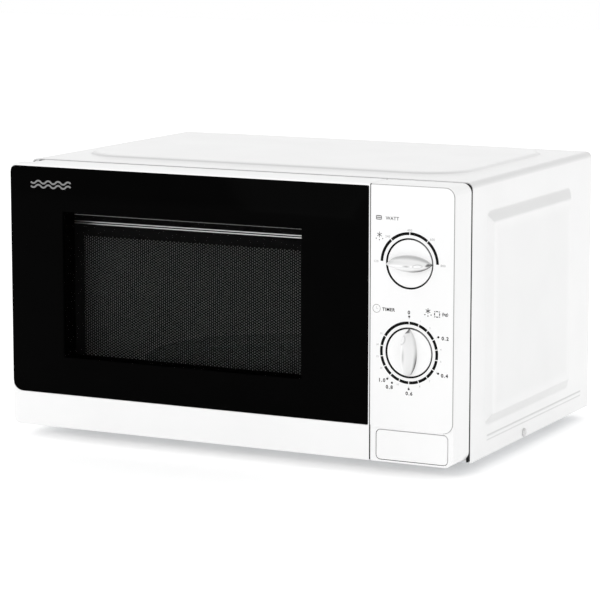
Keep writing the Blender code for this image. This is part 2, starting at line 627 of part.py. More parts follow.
def make_turntable():
    centre = (CENTRE_X, CENTRE_Y)
    motor_top = CAVITY[2] - CAVITY_SHEET - FIT
    floor = Z0 + SHEET + FIT
    motor = [(0, 0), (mm(25), 0), (mm(25), motor_top - mm(1.5) - floor), (mm(9), motor_top - mm(1.5) - floor),
             (mm(9), motor_top - floor), (0, motor_top - floor)]
    piece("turntable_motor", turned("Z", centre, motor, 28, start=floor), GALVANISED)
    hub = mm(9)
    pivot = (*centre, FLOOR)
    lobe_z = (PLATE_Z - mm(7), PLATE_Z - mm(1))
    stub = SHAFT_HOLE - RUNNING * 3
    profile = [(0, motor_top + FIT), (stub, motor_top + FIT), (stub, lobe_z[0]),
               (hub, lobe_z[0]), (hub, lobe_z[1]), (0, lobe_z[1])]
    coupling = piece("drive_coupling", turned("Z", centre, profile, 20), WHITE_PLASTIC, pivot)
    for lobe in range(LOBES):
        join(coupling, spoke(math.tau * lobe / LOBES, (mm(3), mm(22)), mm(4),
                             (lobe_z[0] + mm(0.4), lobe_z[1] - mm(0.4))))
    rim = PLATE_RADIUS
    dish = [(0, 0), (rim * 0.86, 0), (rim * 0.94, mm(2)), (rim, mm(11)), (rim, mm(13)),
            (rim - mm(2.5), mm(13)), (rim * 0.92, mm(5)), (rim * 0.84, mm(4)), (0, mm(4))]
    glass = piece("glass_turntable", turned("Z", centre, dish, 56, start=PLATE_Z), CLEAR_GLASS,
                  (*centre, PLATE_Z))
    for lobe in range(LOBES):
        angle = math.tau * (lobe + 0.5) / LOBES
        join(glass, spoke(angle, (mm(13), mm(19)), mm(4), (PLATE_Z - mm(4), PLATE_Z + mm(1))))
    make_rollers(centre)


def make_rollers(centre):
    half = mm(2.6)
    ring = [(RING_OUTER - mm(6), -half), (RING_OUTER, -half), (RING_OUTER, half), (RING_OUTER - mm(6), half)]
    carrier = piece("roller_ring", turned("Z", centre, ring, 48, closed=True, start=ROLLER_Z), WHITE_PLASTIC,
                    (*centre, ROLLER_Z))
    roller = [(AXLE_RADIUS + RUNNING, -ROLLER_WIDTH / 2), (ROLLER_RADIUS - mm(0.8), -ROLLER_WIDTH / 2),
              (ROLLER_RADIUS, -ROLLER_WIDTH / 2 + mm(0.8)), (ROLLER_RADIUS, ROLLER_WIDTH / 2 - mm(0.8)),
              (ROLLER_RADIUS - mm(0.8), ROLLER_WIDTH / 2), (AXLE_RADIUS + RUNNING, ROLLER_WIDTH / 2)]
    for index, name in enumerate(("roller_a", "roller_b", "roller_c")):
        angle = math.tau * (index + 0.25) / 3
        outward = (Matrix.Translation((*centre, ROLLER_Z)) @ Matrix.Rotation(angle, 4, "Z"))
        axle_end = TRACK_RADIUS + ROLLER_WIDTH / 2 + mm(1.5)
        axle = drum("X", (0, 0), AXLE_RADIUS, (RING_OUTER - mm(3), axle_end), 12)
        bmesh.ops.transform(axle, matrix=outward, verts=axle.verts)
        join(carrier, axle)
        wheel = turned("X", (0, 0), roller, 20, closed=True, start=TRACK_RADIUS)
        bmesh.ops.transform(wheel, matrix=outward, verts=wheel.verts)
        pivot = outward @ Vector((TRACK_RADIUS, 0, 0))
        piece(name, wheel, WHITE_PLASTIC, pivot)


# ---- control panel
PANEL = (SEAM_X, X1, Z0 + DOOR_LOW, Z1 - DOOR_TOP_DROP)
PANEL_WALL = mm(2)
UNIT_Y = (Y0 + mm(5.5), Y0 + mm(33))
BUTTON = (SEAM_X + BUTTON_INSET, SEAM_X + BUTTON_INSET + BUTTON_WIDTH, Z0 + BUTTON_LOW,
          Z0 + BUTTON_LOW + BUTTON_HEIGHT)


def make_control_panel():
    back = YB - FIT
    radii = (mm(2), mm(9), mm(8), mm(1))
    panel = piece("control_panel", plate("Y", rounded(PANEL, radii), (Y0, back)), WHITE_PLASTIC)
    inner = rounded(inside(PANEL, PANEL_WALL), (mm(1), mm(7), mm(6), mm(1)))
    cut(panel, plate("Y", inner, (Y0 + PANEL_WALL + mm(0.5), back + mm(1))))
    front = (Y0 - mm(1), Y0 + mm(5))
    well = KNOB_RADIUS + KNOB_RING
    floor = Y0 + WELL_DEPTH
    for z in (POWER_Z, TIMER_Z):
        join(panel, drum("Y", (DIAL_X, z), well + PANEL_WALL, (Y0 + mm(1), floor + mm(1.4)), 40))
    holes = plate("Y", rounded(BUTTON, mm(4), 4, grow=mm(0.4)), front)
    for z in (POWER_Z, TIMER_Z):
        drum("Y", (DIAL_X, z), well, (Y0 - mm(1), floor), 40, bm=holes)
    cut(panel, holes)
    bores = bmesh.new()
    for z in (POWER_Z, TIMER_Z):
        drum("Y", (DIAL_X, z), SHAFT_RADIUS + mm(1.2), (Y0, floor + mm(3)), 16, bm=bores)
    cut(panel, bores)
    timer = piece("timer_unit", block(around(DIAL_X, mm(27)), UNIT_Y, around(TIMER_Z, mm(26))), GREY_PLASTIC)
    join(timer, drum("Y", (DIAL_X, TIMER_Z), mm(20), (UNIT_Y[1] - mm(1), UNIT_Y[1] + mm(2.5)), 24))
    piece("power_switch_unit", block(around(DIAL_X, mm(24)), UNIT_Y, around(POWER_Z, mm(21))), DARK_PLASTIC)


def make_dial(name, z, turn):
    """A knob with its shaft, pointing along turn degrees from +X towards +Z."""
    face = Y0 - mm(0.4)
    back = Y0 + WELL_DEPTH - mm(0.6)
    tip = Y0 - KNOB_PROUD
    pivot = (DIAL_X, face, z)
    shaft_tip = tip + mm(6)
    shaft = drum("Y", (DIAL_X, z), SHAFT_RADIUS, (shaft_tip, UNIT_Y[0] - FIT), 14)
    piece(f"{name}_shaft", shaft, BRIGHT_STEEL, pivot)
    edge = mm(0.8)
    disc = [(0, back), (KNOB_RADIUS, back), (KNOB_RADIUS, face + edge), (KNOB_RADIUS - edge, face), (0, face)]
    knob = piece(f"{name}_knob", turned("Y", (DIAL_X, z), disc, 40), WHITE_PLASTIC, pivot)
    rise = face - tip
    levels = ((1.0, 1.0, face + mm(1.5)), (1.0, 1.0, face), (0.99, 0.9, face - rise * 0.4),
              (0.93, 0.66, face - rise * 0.8), (0.82, 0.36, tip))
    place = Matrix.Translation((DIAL_X, 0, z)) @ Matrix.Rotation(-math.radians(turn), 4, "Y")
    steps = 6
    loops = []
    for length, width, y in levels:
        outline = []
        for side in (1, -1):
            for step in range(steps):
                along = math.cos(math.pi * step / steps) * side
                across = (1 - along ** 2) * side
                reach = (KNOB_RADIUS - edge - FIT) * length
                outline.append((along * reach, across * BLADE_WIDTH / 2 * width))
        loops.append((outline, y))
    blade = skin("Y", loops)
    bmesh.ops.transform(blade, matrix=place, verts=blade.verts)
    join(knob, blade)
    cut(knob, drum("Y", (DIAL_X, z), SHAFT_RADIUS + FIT / 2, (shaft_tip - FIT, back + mm(1)), 14))


def make_button():
    x = (BUTTON[0], BUTTON[1])
    z = (BUTTON[2], BUTTON[3])
    plunger_y = LEVER_Y - mm(4) - FIT
    skirt = mm(14)
    face = Y0 - mm(0.4)
    loops = [(rounded(BUTTON, mm(4), 4), face + skirt), (rounded(BUTTON, mm(4), 4), face + mm(0.8)),
             (rounded(inside(BUTTON, mm(0.8)), mm(3.4), 4), face)]
    button = piece("release_button", skin("Y", loops), WHITE_PLASTIC, (sum(x) / 2, face, sum(z) / 2))
    wall = mm(2)
    hollow = (x[0] + wall, x[1] - wall, z[0] + wall, z[1] - wall)
    cut(button, block(hollow[:2], (face + wall, face + skirt + mm(1)), hollow[2:]))
    join(button, block(PLUNGER_X, (face + mm(1), plunger_y), PLUNGER_Z))


# ---- latch
BRACKET_X = (HOOK_SLOT_X[1] + mm(1.6), HOOK_SLOT_X[1] + mm(3.6))
TUBE_RADIUS = mm(4)


def make_latch():
    y = (PLATE_Y[1] + FIT, HOOK_TIP + mm(6))
    z = (LEVER_Z - mm(8), HOOKS_Z[1] + mm(26))
    flange_x = WORKS_X + mm(1.2)
    outline = [(flange_x, y[0]), (BRACKET_X[1], y[0]), (BRACKET_X[1], y[1]), (BRACKET_X[0], y[1]),
               (BRACKET_X[0], y[0] + mm(2)), (flange_x, y[0] + mm(2))]
    bracket = piece("interlock_bracket", plate("Z", outline, z), WHITE_PLASTIC)
    for hook in HOOKS_Z:
        ledge_z = (hook - HOOK_BARB - mm(4.5), hook - HOOK_BARB - mm(2.5))
        join(bracket, block((HOOK_SLOT_X[0] + mm(1), BRACKET_X[0] + mm(1)),
                            (y[0] + mm(1), y[0] + mm(5)), ledge_z))
    cut(bracket, hook_slots((y[0] - mm(1), y[0] + mm(2.5)), -FIT))
    cut(bracket, drum("X", (LEVER_Y, LEVER_Z), TUBE_RADIUS + RUNNING,
                      (BRACKET_X[0] - mm(1), BRACKET_X[1] + mm(1)), 16))
    switch_x = (BRACKET_X[1] + FIT, BRACKET_X[1] + FIT + mm(10))
    switch_y = (y[0] + mm(1), y[0] + mm(29))
    places = {"primary_switch": HOOKS_Z[1] - mm(2), "secondary_switch": HOOKS_Z[0] + mm(2),
              "monitor_switch": (HOOKS_Z[0] + HOOKS_Z[1]) / 2}
    for name, low in places.items():
        body = piece(name, block(switch_x, switch_y, (low, low + mm(16))), DARK_PLASTIC)
        join(body, block((switch_x[0] + mm(3), switch_x[1] - mm(3)),
                         (switch_y[0] + mm(5), switch_y[0] + mm(8)), (low + mm(15), low + mm(18))))


def make_lever():
    half = TUBE_RADIUS
    pivot = (PLUNGER_X[0], LEVER_Y, LEVER_Z)
    tube = drum("X", (LEVER_Y, LEVER_Z), half, (HOOK_X[0] - mm(2), PLUNGER_X[1] + mm(1)), 16)
    lever = piece("release_lever", tube, WHITE_PLASTIC, pivot)
    press_x = (PLUNGER_X[0] - mm(1), PLUNGER_X[1])
    join(lever, block(press_x, (LEVER_Y - half, LEVER_Y + half - mm(0.5)), (PLUNGER_Z[0] - mm(1), LEVER_Z)))
    lift_x = (HOOK_X[0] - mm(1), HOOK_X[1] + mm(1.5))
    lift_y = (LEVER_Y, HOOK_TIP + mm(1))
    join(lever, block(lift_x, lift_y, (LEVER_Z - half + mm(0.5), LEVER_Z + half - mm(0.5))))
    pad_top = HOOKS_Z[0] - HOOK_BARB - mm(1)
    join(lever, block(lift_x, (HOOK_TIP - mm(6), HOOK_TIP + mm(0.9)), (LEVER_Z + mm(2), pad_top)))


# ---- door
SCREEN_Y = (Y0 + SCREEN_DEPTH, Y0 + SCREEN_DEPTH + mm(0.6))
POCKET = (DOOR[0] + HINGE_INSET + HINGE_ARM / 2 + mm(2), DOOR[1] - DOOR_WALL,
          DOOR[2] + DOOR_WALL, DOOR[3] - DOOR_WALL)
SEAL = (CAVITY[0] - mm(6.5), CAVITY[1] + mm(6.5), CAVITY[2] - mm(6.5), CAVITY[3] + mm(6.5))
STEP = (WINDOW[0] - mm(13), WINDOW[1] + mm(13), WINDOW[2] - mm(13), WINDOW[3] + mm(13))
LAND_Y = YB - mm(0.7)
HOOK_PLATE_Y = (YB - mm(13), YB - mm(5))
SPRING_Z = (Z0 + mm(18.5), HOOKS_Z[0] - mm(11) - FIT)
HINGE_PIVOT = (HINGE_X, HINGE_Y, 0)


def make_door_frame():
    back = YB - FIT
    radii = (mm(7), mm(1), mm(1), mm(6))
    frame = piece("door_frame", plate("Y", rounded(DOOR, radii), (Y0, back)), WHITE_PLASTIC, HINGE_PIVOT)
    glass_radii = [radius + FIT for radius in (mm(10), mm(1), mm(1), mm(6))]
    recess = (GLASS_RECT[0] - FIT, GLASS_RECT[1] + FIT, GLASS_RECT[2] - FIT, GLASS_RECT[3] + FIT)
    cut(frame, plate("Y", rounded(recess, glass_radii), (Y0 - mm(1), Y0 + GLASS + FIT)))
    corner = mm(10)
    centre = (DOOR[0] + corner, back - corner)
    arc = [(centre[0] + corner * math.cos(angle), centre[1] + corner * math.sin(angle))
           for angle in (math.pi - step * math.pi / 12 for step in range(7))]
    outline = arc + [(centre[0], back + mm(2)), (DOOR[0] - mm(2), back + mm(2)), (DOOR[0] - mm(2), centre[1])]
    cut(frame, plate("Z", outline, (DOOR[2] - mm(2), DOOR[3] + mm(2))))
    cut(frame, plate("Y", rect(POCKET), (Y0 + GLASS + FIT + DOOR_WALL, back + mm(1))))
    tunnel = rounded(WINDOW, WINDOW_CORNER, 4, grow=DOOR_WALL)
    join(frame, plate("Y", tunnel, (Y0 + GLASS + FIT + mm(1), SCREEN_Y[0] - FIT)))
    cut(frame, plate("Y", rounded(WINDOW, WINDOW_CORNER, 4), (Y0 + mm(1), SCREEN_Y[0] + mm(1))))
    clear = HINGE_ARM / 2 + mm(1.5)
    notch = bmesh.new()
    for low, high in ((DOOR[2] - mm(2), ARM_Z["lower"] + HINGE_SHEET + mm(0.5)),
                      (ARM_Z["upper"] - mm(0.6), DOOR[3] + mm(2))):
        block((DOOR[0] - mm(2), HINGE_X + clear), (HINGE_Y - HINGE_ARM / 2 - mm(3.2), back + mm(2)),
              (low, high), notch)
    cut(frame, notch)
    bores = bmesh.new()
    for name, span in pin_spans().items():
        drum("Z", (HINGE_X, HINGE_Y), PIN_RADIUS + RUNNING, (span[0] - mm(1), span[1] + mm(1)), 16, bm=bores)
    cut(frame, bores)
    post = (HOOK_X[0] - mm(1.5), HOOK_X[1] + mm(1.5))
    join(frame, block(post, (Y0 + GLASS + mm(1), HOOK_PLATE_Y[1]),
                      (SPRING_Z[0] - FIT - mm(5), SPRING_Z[0] - FIT)))


def pin_spans():
    lower = ARM_Z["lower"] + HINGE_SHEET
    upper = ARM_Z["upper"]
    return {"lower": (lower - mm(1), lower + PIN_LENGTH), "upper": (upper - PIN_LENGTH, upper + mm(1))}


def make_hinges():
    for name, low in ARM_Z.items():
        half = HINGE_ARM / 2
        steps = 8
        nose = [(HINGE_X + half * math.cos(angle), HINGE_Y + half * math.sin(angle))
                for angle in (math.pi + step * math.pi / steps for step in range(steps + 1))]
        behind = PLATE_Y[1] + FIT
        outline = nose + [(HINGE_X + half, behind + HINGE_SHEET), (HINGE_X - half, behind + HINGE_SHEET)]
        bracket = piece(f"hinge_bracket_{name}", plate("Z", outline, (low, low + HINGE_SHEET)), GALVANISED)
        inward = mm(24) if name == "lower" else -mm(24)
        tab = (min(low + mm(0.1), low + inward), max(low + HINGE_SHEET - mm(0.1), low + inward))
        join(bracket, block(around(HINGE_X, half - mm(0.1)), (behind, behind + HINGE_SHEET - mm(0.1)), tab))
        join(bracket, drum("Z", (HINGE_X, HINGE_Y), PIN_RADIUS, pin_spans()[name], 16))


def make_door_layers():
    glass = plate("Y", rounded(GLASS_RECT, (mm(10), mm(1), mm(1), mm(6))), (Y0, Y0 + GLASS))
    piece("door_glass", glass, BLACK_GLASS, HINGE_PIVOT)
    mesh_box = [(x, z) for x, z in rect(WINDOW, mm(6))]
    piece("door_screen", plate("Y", mesh_box, SCREEN_Y), DARK_PLASTIC, HINGE_PIVOT)
    sheet = CAVITY_SHEET
    front = SCREEN_Y[1] + FIT
    loops = [(rect(SEAL), front), (rect(SEAL), LAND_Y), (rect(STEP), LAND_Y), (rect(STEP), front + sheet),
             (rect(WINDOW, mm(2)), front + sheet), (rect(WINDOW, mm(2)), front), (rect(STEP, sheet), front),
             (rect(STEP, sheet), LAND_Y - sheet), (rect(SEAL, -sheet), LAND_Y - sheet),
             (rect(SEAL, -sheet), front)]
    piece("door_choke_panel", skin("Y", loops, closed=True), GALVANISED, HINGE_PIVOT)
    pane = rect(STEP, -FIT)
    piece("door_inner_window", plate("Y", pane, (LAND_Y - mm(2), LAND_Y - mm(0.5))), CLEAR_GLASS, HINGE_PIVOT)
    outer = rect(POCKET, -FIT)
    lip = rect(POCKET, -FIT - mm(1.6))
    inner = rect(SEAL, FIT)
    back = YB - FIT * 1.5
    thin = mm(2)
    loops = [(outer, back - mm(10)), (outer, back), (inner, back), (inner, back - thin), (lip, back - thin),
             (lip, back - mm(10))]
    cover = piece("choke_cover", skin("Y", loops, closed=True), GREY_PLASTIC, HINGE_PIVOT)
    cut(cover, hook_slots((back - mm(4), back + mm(2))))


def make_hook_plate():
    z = (HOOKS_Z[0] - mm(11), HOOKS_Z[1] + mm(13))
    pivot = ((HOOK_X[0] + HOOK_X[1]) / 2, HOOK_PLATE_Y[1], z[0])
    arm_y = (HOOK_PLATE_Y[0] + mm(3), HOOK_TIP)
    outline = [(HOOK_PLATE_Y[0], z[0]), (HOOK_PLATE_Y[1], z[0])]
    for low in HOOKS_Z:
        barb = low - HOOK_BARB
        outline += [(HOOK_PLATE_Y[1], low), (HOOK_TIP - mm(8), low), (HOOK_TIP - mm(8), barb),
                    (HOOK_TIP - mm(2), barb), (HOOK_TIP, barb + mm(3)), (arm_y[1], low + HOOK_ARM - mm(3)),
                    (arm_y[1] - mm(3), low + HOOK_ARM), (HOOK_PLATE_Y[1], low + HOOK_ARM)]
    outline += [(HOOK_PLATE_Y[1], z[1]), (HOOK_PLATE_Y[0], z[1])]
    piece("door_hook_plate", plate("X", outline, HOOK_X), WHITE_PLASTIC, pivot)
    turns = 6
    sides = 5
    per_turn = 10
    wire = mm(0.7)
    radius = mm(2.8)
    centre_y = (HOOK_PLATE_Y[0] + HOOK_PLATE_Y[1]) / 2
    low, high = SPRING_Z[0] + wire, SPRING_Z[1] - wire
    bm = bmesh.new()
    rows = []
    for step in range(turns * per_turn + 1):
        angle = math.tau * step / per_turn
        out = Vector((math.cos(angle), math.sin(angle), 0))
        middle = Vector((pivot[0], centre_y, low + (high - low) * step / (turns * per_turn))) + out * radius
        round_wire = [math.tau * side / sides for side in range(sides)]
        rows.append([bm.verts.new(middle + (out * math.cos(turn) + Vector((0, 0, math.sin(turn)))) * wire)
                     for turn in round_wire])
    for first, second in zip(rows, rows[1:]):
        for side in range(sides):
            after = (side + 1) % sides
            bm.faces.new((first[side], first[after], second[after], second[side]))
    bm.faces.new(rows[0])
    bm.faces.new(rows[-1])
    piece("hook_spring", bm, BRIGHT_STEEL, (pivot[0], centre_y, SPRING_Z[0]))


for obj in list(bpy.data.objects):
    bpy.data.objects.remove(obj)
oven = bpy.data.objects.new("oven", None)
bpy.context.scene.collection.objects.link(oven)
oven.location = SHIFT

make_cabinet()
make_base()
make_screws()
make_rear_panel()
make_front_plate()
make_cavity()
antenna_centre, antenna_radius = make_waveguide()
make_magnetron(antenna_centre, antenna_radius)
make_fan()
make_power_supply()
make_small_works()
make_turntable()
make_control_panel()
make_dial("power", POWER_Z, 0)
make_dial("timer", TIMER_Z, 90)
make_button()
make_latch()
make_lever()
make_door_frame()
make_hinges()
make_door_layers()
make_hook_plate()
bpy.context.view_layer.update()
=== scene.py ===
import json
import math

import bmesh
import bpy
from mathutils import Matrix, Vector


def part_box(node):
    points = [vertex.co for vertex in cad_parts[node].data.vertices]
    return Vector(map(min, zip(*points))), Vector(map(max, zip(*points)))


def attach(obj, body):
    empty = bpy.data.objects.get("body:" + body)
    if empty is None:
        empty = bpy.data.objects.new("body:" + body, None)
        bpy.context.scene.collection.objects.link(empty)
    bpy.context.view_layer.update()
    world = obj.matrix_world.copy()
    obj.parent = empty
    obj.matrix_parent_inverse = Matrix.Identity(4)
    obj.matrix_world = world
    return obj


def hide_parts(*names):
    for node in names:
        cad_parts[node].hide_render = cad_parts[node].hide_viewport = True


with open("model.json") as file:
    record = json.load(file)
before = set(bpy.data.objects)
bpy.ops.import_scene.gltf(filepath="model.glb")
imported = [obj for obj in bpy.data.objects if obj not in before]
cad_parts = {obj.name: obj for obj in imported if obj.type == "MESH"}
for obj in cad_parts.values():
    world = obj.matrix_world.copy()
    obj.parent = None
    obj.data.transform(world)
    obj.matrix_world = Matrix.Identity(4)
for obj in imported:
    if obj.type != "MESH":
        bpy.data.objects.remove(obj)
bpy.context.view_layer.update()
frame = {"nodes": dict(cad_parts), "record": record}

nodes = frame["nodes"]
mm = 0.001
past = 2 * mm  # how far a cutter runs past what it cuts
view = bpy.context.scene.view_settings
view.view_transform = "Standard"


# the middle and the edges of a CAD node, for placing pieces
class Place:
    def __init__(self, node):
        low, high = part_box(node)
        self.x0, self.y0, self.z0 = low
        self.x1, self.y1, self.z1 = high
        self.x, self.y, self.z = (low + high) / 2


cabinetAt = Place("outer_cabinet")
doorAt = Place("door_frame")
glassAt = Place("door_glass")
panelAt = Place("control_panel")
buttonAt = Place("release_button")
powerAt = Place("power_knob")
timerAt = Place("timer_knob")

print("camera, floor and lights")
cameraSet = {
    "place": (1.1125, -2.25865, 0.5205), "turn": 26.37, "tilt": 9.022, "roll": 0.055,
    "lens": 164.0, "sensor": 36.0, "reach": 50,
}
camera = bpy.data.objects.new("camera", bpy.data.cameras.new("camera"))
camera.data.lens = cameraSet["lens"]
camera.data.sensor_width = cameraSet["sensor"]
camera.data.clip_end = cameraSet["reach"]
camera.matrix_world = (
    Matrix.Translation(cameraSet["place"])
    @ Matrix.Rotation(math.radians(cameraSet["turn"]), 4, "Z")
    @ Matrix.Rotation(math.radians(90 - cameraSet["tilt"]), 4, "X")
    @ Matrix.Rotation(math.radians(cameraSet["roll"]), 4, "Z")
)
bpy.context.scene.collection.objects.link(camera)
bpy.context.scene.camera = camera

studio = {
    "sky": 1.0, "floor": 12.0, "aim": (0, 0, 0.12),
    "lamps": (
        # name, place, size, watts
        ("frontSoftbox", (-0.5, -3.5, 0.9), 2.4, 18),
        ("topSoftbox", (0.2, 0.3, 3.0), 3.0, 3),
        ("rightSoftbox", (3.0, -0.6, 1.4), 2.0, 1),
    ),
}
world = bpy.data.worlds.new("studio")
bpy.context.scene.world = world
world.use_nodes = True
world.node_tree.nodes["Background"].inputs["Color"].default_value = (1, 1, 1, 1)
world.node_tree.nodes["Background"].inputs["Strength"].default_value = studio["sky"]
for name, place, size, watts in studio["lamps"]:
    lamp = bpy.data.lights.new(name, "AREA")
    lamp.energy = watts
    lamp.size = size
    softbox = bpy.data.objects.new(name, lamp)
    aim = Vector(studio["aim"]) - Vector(place)
    softbox.matrix_world = Matrix.Translation(place) @ aim.to_track_quat("-Z", "Y").to_matrix().to_4x4()
    bpy.context.scene.collection.objects.link(softbox)


# a socket in a finish: sums and products of wires add their Math nodes
class Wire:
    def __init__(self, finish, socket):
        self.finish = finish
        self.socket = socket

    def __add__(self, other):
        return self.finish.maths("ADD", self, other)

    def __mul__(self, other):
        return self.finish.maths("MULTIPLY", self, other)

    def __rsub__(self, other):
        return self.finish.maths("SUBTRACT", other, self)

    __radd__ = __add__
    __rmul__ = __mul__


# a named material and the one way its nodes are made
class Finish:
    def __init__(self, name, **constants):
        self.material = bpy.data.materials.new(name)
        self.material.use_nodes = True
        self.tree = self.material.node_tree
        self.shader = self.tree.nodes["Principled BSDF"]
        self.place = self.node("ShaderNodeTexCoord", out="Object")
        for socket, value in constants.items():
            self.shader.inputs[socket.replace("_", " ")].default_value = value

    def node(self, kind, out=0, settings=None, **sockets):
        made = self.tree.nodes.new("ShaderNode" + kind.replace("ShaderNode", ""))
        for setting, value in (settings or {}).items():
            if setting == "stops":
                ramp = made.color_ramp
                while len(ramp.elements) < len(value):
                    ramp.elements.new(1.0)
                for element, (position, shade) in zip(ramp.elements, value):
                    element.position = position
                    element.color = shade if len(shade) == 4 else (*shade, 1)
            else:
                setattr(made, setting, value)
        for socket, value in sockets.items():
            plain = socket.strip("_").replace("_", " ")
            target = made.inputs[int(plain[1:])] if plain[1:].isdigit() else made.inputs[plain]
            if isinstance(value, Wire):
                self.tree.links.new(value.socket, target)
            else:
                target.default_value = value
        return Wire(self, made.outputs[out])

    def maths(self, operation, first, second=0.0):
        return self.node("Math", settings={"operation": operation}, i0=first, i1=second)

    def noise(self, scale, detail=3.0, roughness=0.5, place=None):
        place = place or self.place
        return self.node("TexNoise", Vector=place, Scale=scale, Detail=detail, Roughness=roughness)

    def cells(self, scale, feature="F1", out="Distance"):
        return self.node("TexVoronoi", out=out, settings={"feature": feature}, Vector=self.place, Scale=scale)

    def stretched(self, scale):
        return self.node("Mapping", Vector=self.place, Scale=scale)

    def between(self, low, high, wire):
        return self.node("MapRange", Value=wire, From_Min=low, From_Max=high)

    def ramp(self, wire, *stops):
        return self.node("ValToRGB", settings={"stops": stops}, Fac=wire)

    def tint(self, factor, first, second):
        sockets = {"i0": factor, "i6": first, "i7": second}
        return self.node("Mix", out=2, settings={"data_type": "RGBA"}, **sockets)

    def wear(self, colour=None, rough=None, height=None, depth=0.0001, metallic=None):
        links = {"Base Color": colour, "Roughness": rough, "Metallic": metallic}
        if height:
            links["Normal"] = self.node("Bump", Strength=1.0, Distance=depth, Height=height)
        for socket, wire in links.items():
            if isinstance(wire, Wire):
                self.tree.links.new(wire.socket, self.shader.inputs[socket])
        return self.material


def shade(level, warm=0.0):
    return (level + warm, level, level - warm, 1)


print("finishes")


# painted shade: the paint is darkened on the bends, the ramps, the bead edges and a little over the side
# field, by a vertex attribute
def enamelFinish(name, light, dark, peel, speckle=0.0, shadeLevel=0.0):
    paint = Finish(name, Coat_Weight=0.25, Coat_Roughness=0.12)
    cloud = paint.noise(14.0, 4.0)
    orangePeel = paint.noise(620.0, 2.0)
    colour = paint.tint(paint.between(0.35, 0.65, cloud), shade(light), shade(dark))
    if shadeLevel:
        drawn = paint.node("Attribute", out="Fac", settings={"attribute_name": "drawn"})
        colour = paint.tint(drawn, colour, shade(shadeLevel))
    if speckle:
        flecks = paint.between(0.10, 0.06, paint.cells(900.0))
        colour = paint.tint(flecks * speckle, colour, shade(0.22))
    rough = 0.27 + 0.12 * cloud + 0.05 * orangePeel
    return paint.wear(colour, rough, orangePeel, peel)


def mouldedFinish(name, light, dark, rough, grain, gloss=0.0, density=1.45, flank=0.0):
    plastic = Finish(name, Coat_Weight=gloss, Coat_Roughness=0.1, IOR=density)
    flow = plastic.noise(9.0, 3.0)
    spark = plastic.noise(1900.0, 2.0, 0.6)
    colour = plastic.tint(plastic.between(0.3, 0.7, flow), light, dark)
    # painted shade and painted reflections on the knob blades' flanks, read from a vertex attribute
    if flank:
        flankShadeMask = plastic.node("Attribute", out="Fac", settings={"attribute_name": "flank"})
        colour = plastic.tint(flankShadeMask, colour, shade(flank))
    return plastic.wear(colour, rough + 0.1 * flow + 0.08 * spark, spark, grain)


def galvanisedFinish():
    zinc = Finish("galvanisedSheet", Metallic=1.0)
    spangle = zinc.cells(160.0, out="Color")
    tone = zinc.node("RGBToBW", Color=spangle)
    frost = zinc.noise(700.0, 3.0)
    colour = zinc.tint(tone, (0.52, 0.54, 0.56, 1), (0.74, 0.75, 0.76, 1))
    return zinc.wear(colour, 0.3 + 0.22 * tone + 0.08 * frost, frost, 0.00002)


def steelFinish(name, light, dark, rough):
    steel = Finish(name, Metallic=1.0)
    lines = steel.noise(90.0, 3.0, place=steel.stretched((1.0, 30.0, 30.0)))
    stain = steel.noise(45.0, 4.0)
    colour = steel.tint(lines * 0.6 + stain * 0.4, shade(light), shade(dark))
    return steel.wear(colour, rough + 0.15 * lines, lines, 0.00002)


def ironFinish():
    iron = Finish("laminatedIron")
    sheets = iron.node("TexWave", settings={"wave_type": "BANDS", "bands_direction": "Y"},
                       Vector=iron.place, Scale=320.0, Distortion=0.2)
    rust = iron.between(0.52, 0.7, iron.noise(60.0, 6.0))
    colour = iron.tint(rust, (0.13, 0.125, 0.12, 1), (0.24, 0.12, 0.07, 1))
    return iron.wear(colour, 0.5 + 0.25 * rust, sheets, 0.0002, 1 - rust)


def copperFinish():
    copper = Finish("enamelledCopper", Metallic=0.9, Coat_Weight=0.6)
    turns = copper.node("TexWave", settings={"wave_type": "BANDS", "bands_direction": "Z"},
                        Vector=copper.place, Scale=380.0, Distortion=0.4)
    colour = copper.tint(turns, (0.36, 0.13, 0.06, 1), (0.78, 0.38, 0.2, 1))
    return copper.wear(colour, 0.25 + 0.2 * turns, turns, 0.0003)


def rubberFinish():
    rubber = Finish("blackRubber", Sheen_Weight=0.2)
    bloom = rubber.noise(120.0, 5.0)
    skin = rubber.noise(1500.0, 2.0)
    colour = rubber.tint(bloom, shade(0.018), shade(0.05))
    return rubber.wear(colour, 0.7 + 0.2 * bloom, skin, 0.0001)


def micaFinish():
    mica = Finish("micaSheet", Coat_Weight=0.4, Coat_Roughness=0.3)
    flakes = mica.cells(380.0, out="Color")
    tone = mica.node("RGBToBW", Color=flakes)
    colour = mica.tint(tone, (0.42, 0.36, 0.27, 1), (0.72, 0.68, 0.58, 1))
    return mica.wear(colour, 0.35 + 0.3 * tone, tone, 0.00008)


def boardFinish():
    board = Finish("circuitBoard", Coat_Weight=0.5)
    tracks = board.between(0.07, 0.05, board.cells(260.0, "DISTANCE_TO_EDGE"))
    weave = board.node("TexChecker", out="Fac", Vector=board.place, Scale=1600.0)
    colour = board.tint(tracks, (0.03, 0.16, 0.07, 1), (0.07, 0.3, 0.13, 1))
    return board.wear(colour, 0.4 + 0.1 * weave, tracks + 0.2 * weave, 0.00004)


def clearGlassFinish():
    glass = Finish("clearGlass", IOR=1.5)
    smear = glass.noise(30.0, 5.0)
    edge = glass.node("LayerWeight", out="Facing", Blend=0.35)
    colour = glass.tint(edge, (0.75, 0.84, 0.82, 1), (0.42, 0.56, 0.53, 1))
    alpha = 0.22 + 0.5 * edge
    glass.tree.links.new(alpha.socket, glass.shader.inputs["Alpha"])
    return glass.wear(colour, 0.03 + 0.08 * smear)


def doorGlassFinish(name, **constants):
    glass = Finish(name, **constants)
    smear = glass.noise(26.0, 5.0)
    return glass.wear(glass.tint(smear, shade(0.0003), shade(0.0008)), 0.03 + 0.05 * smear)


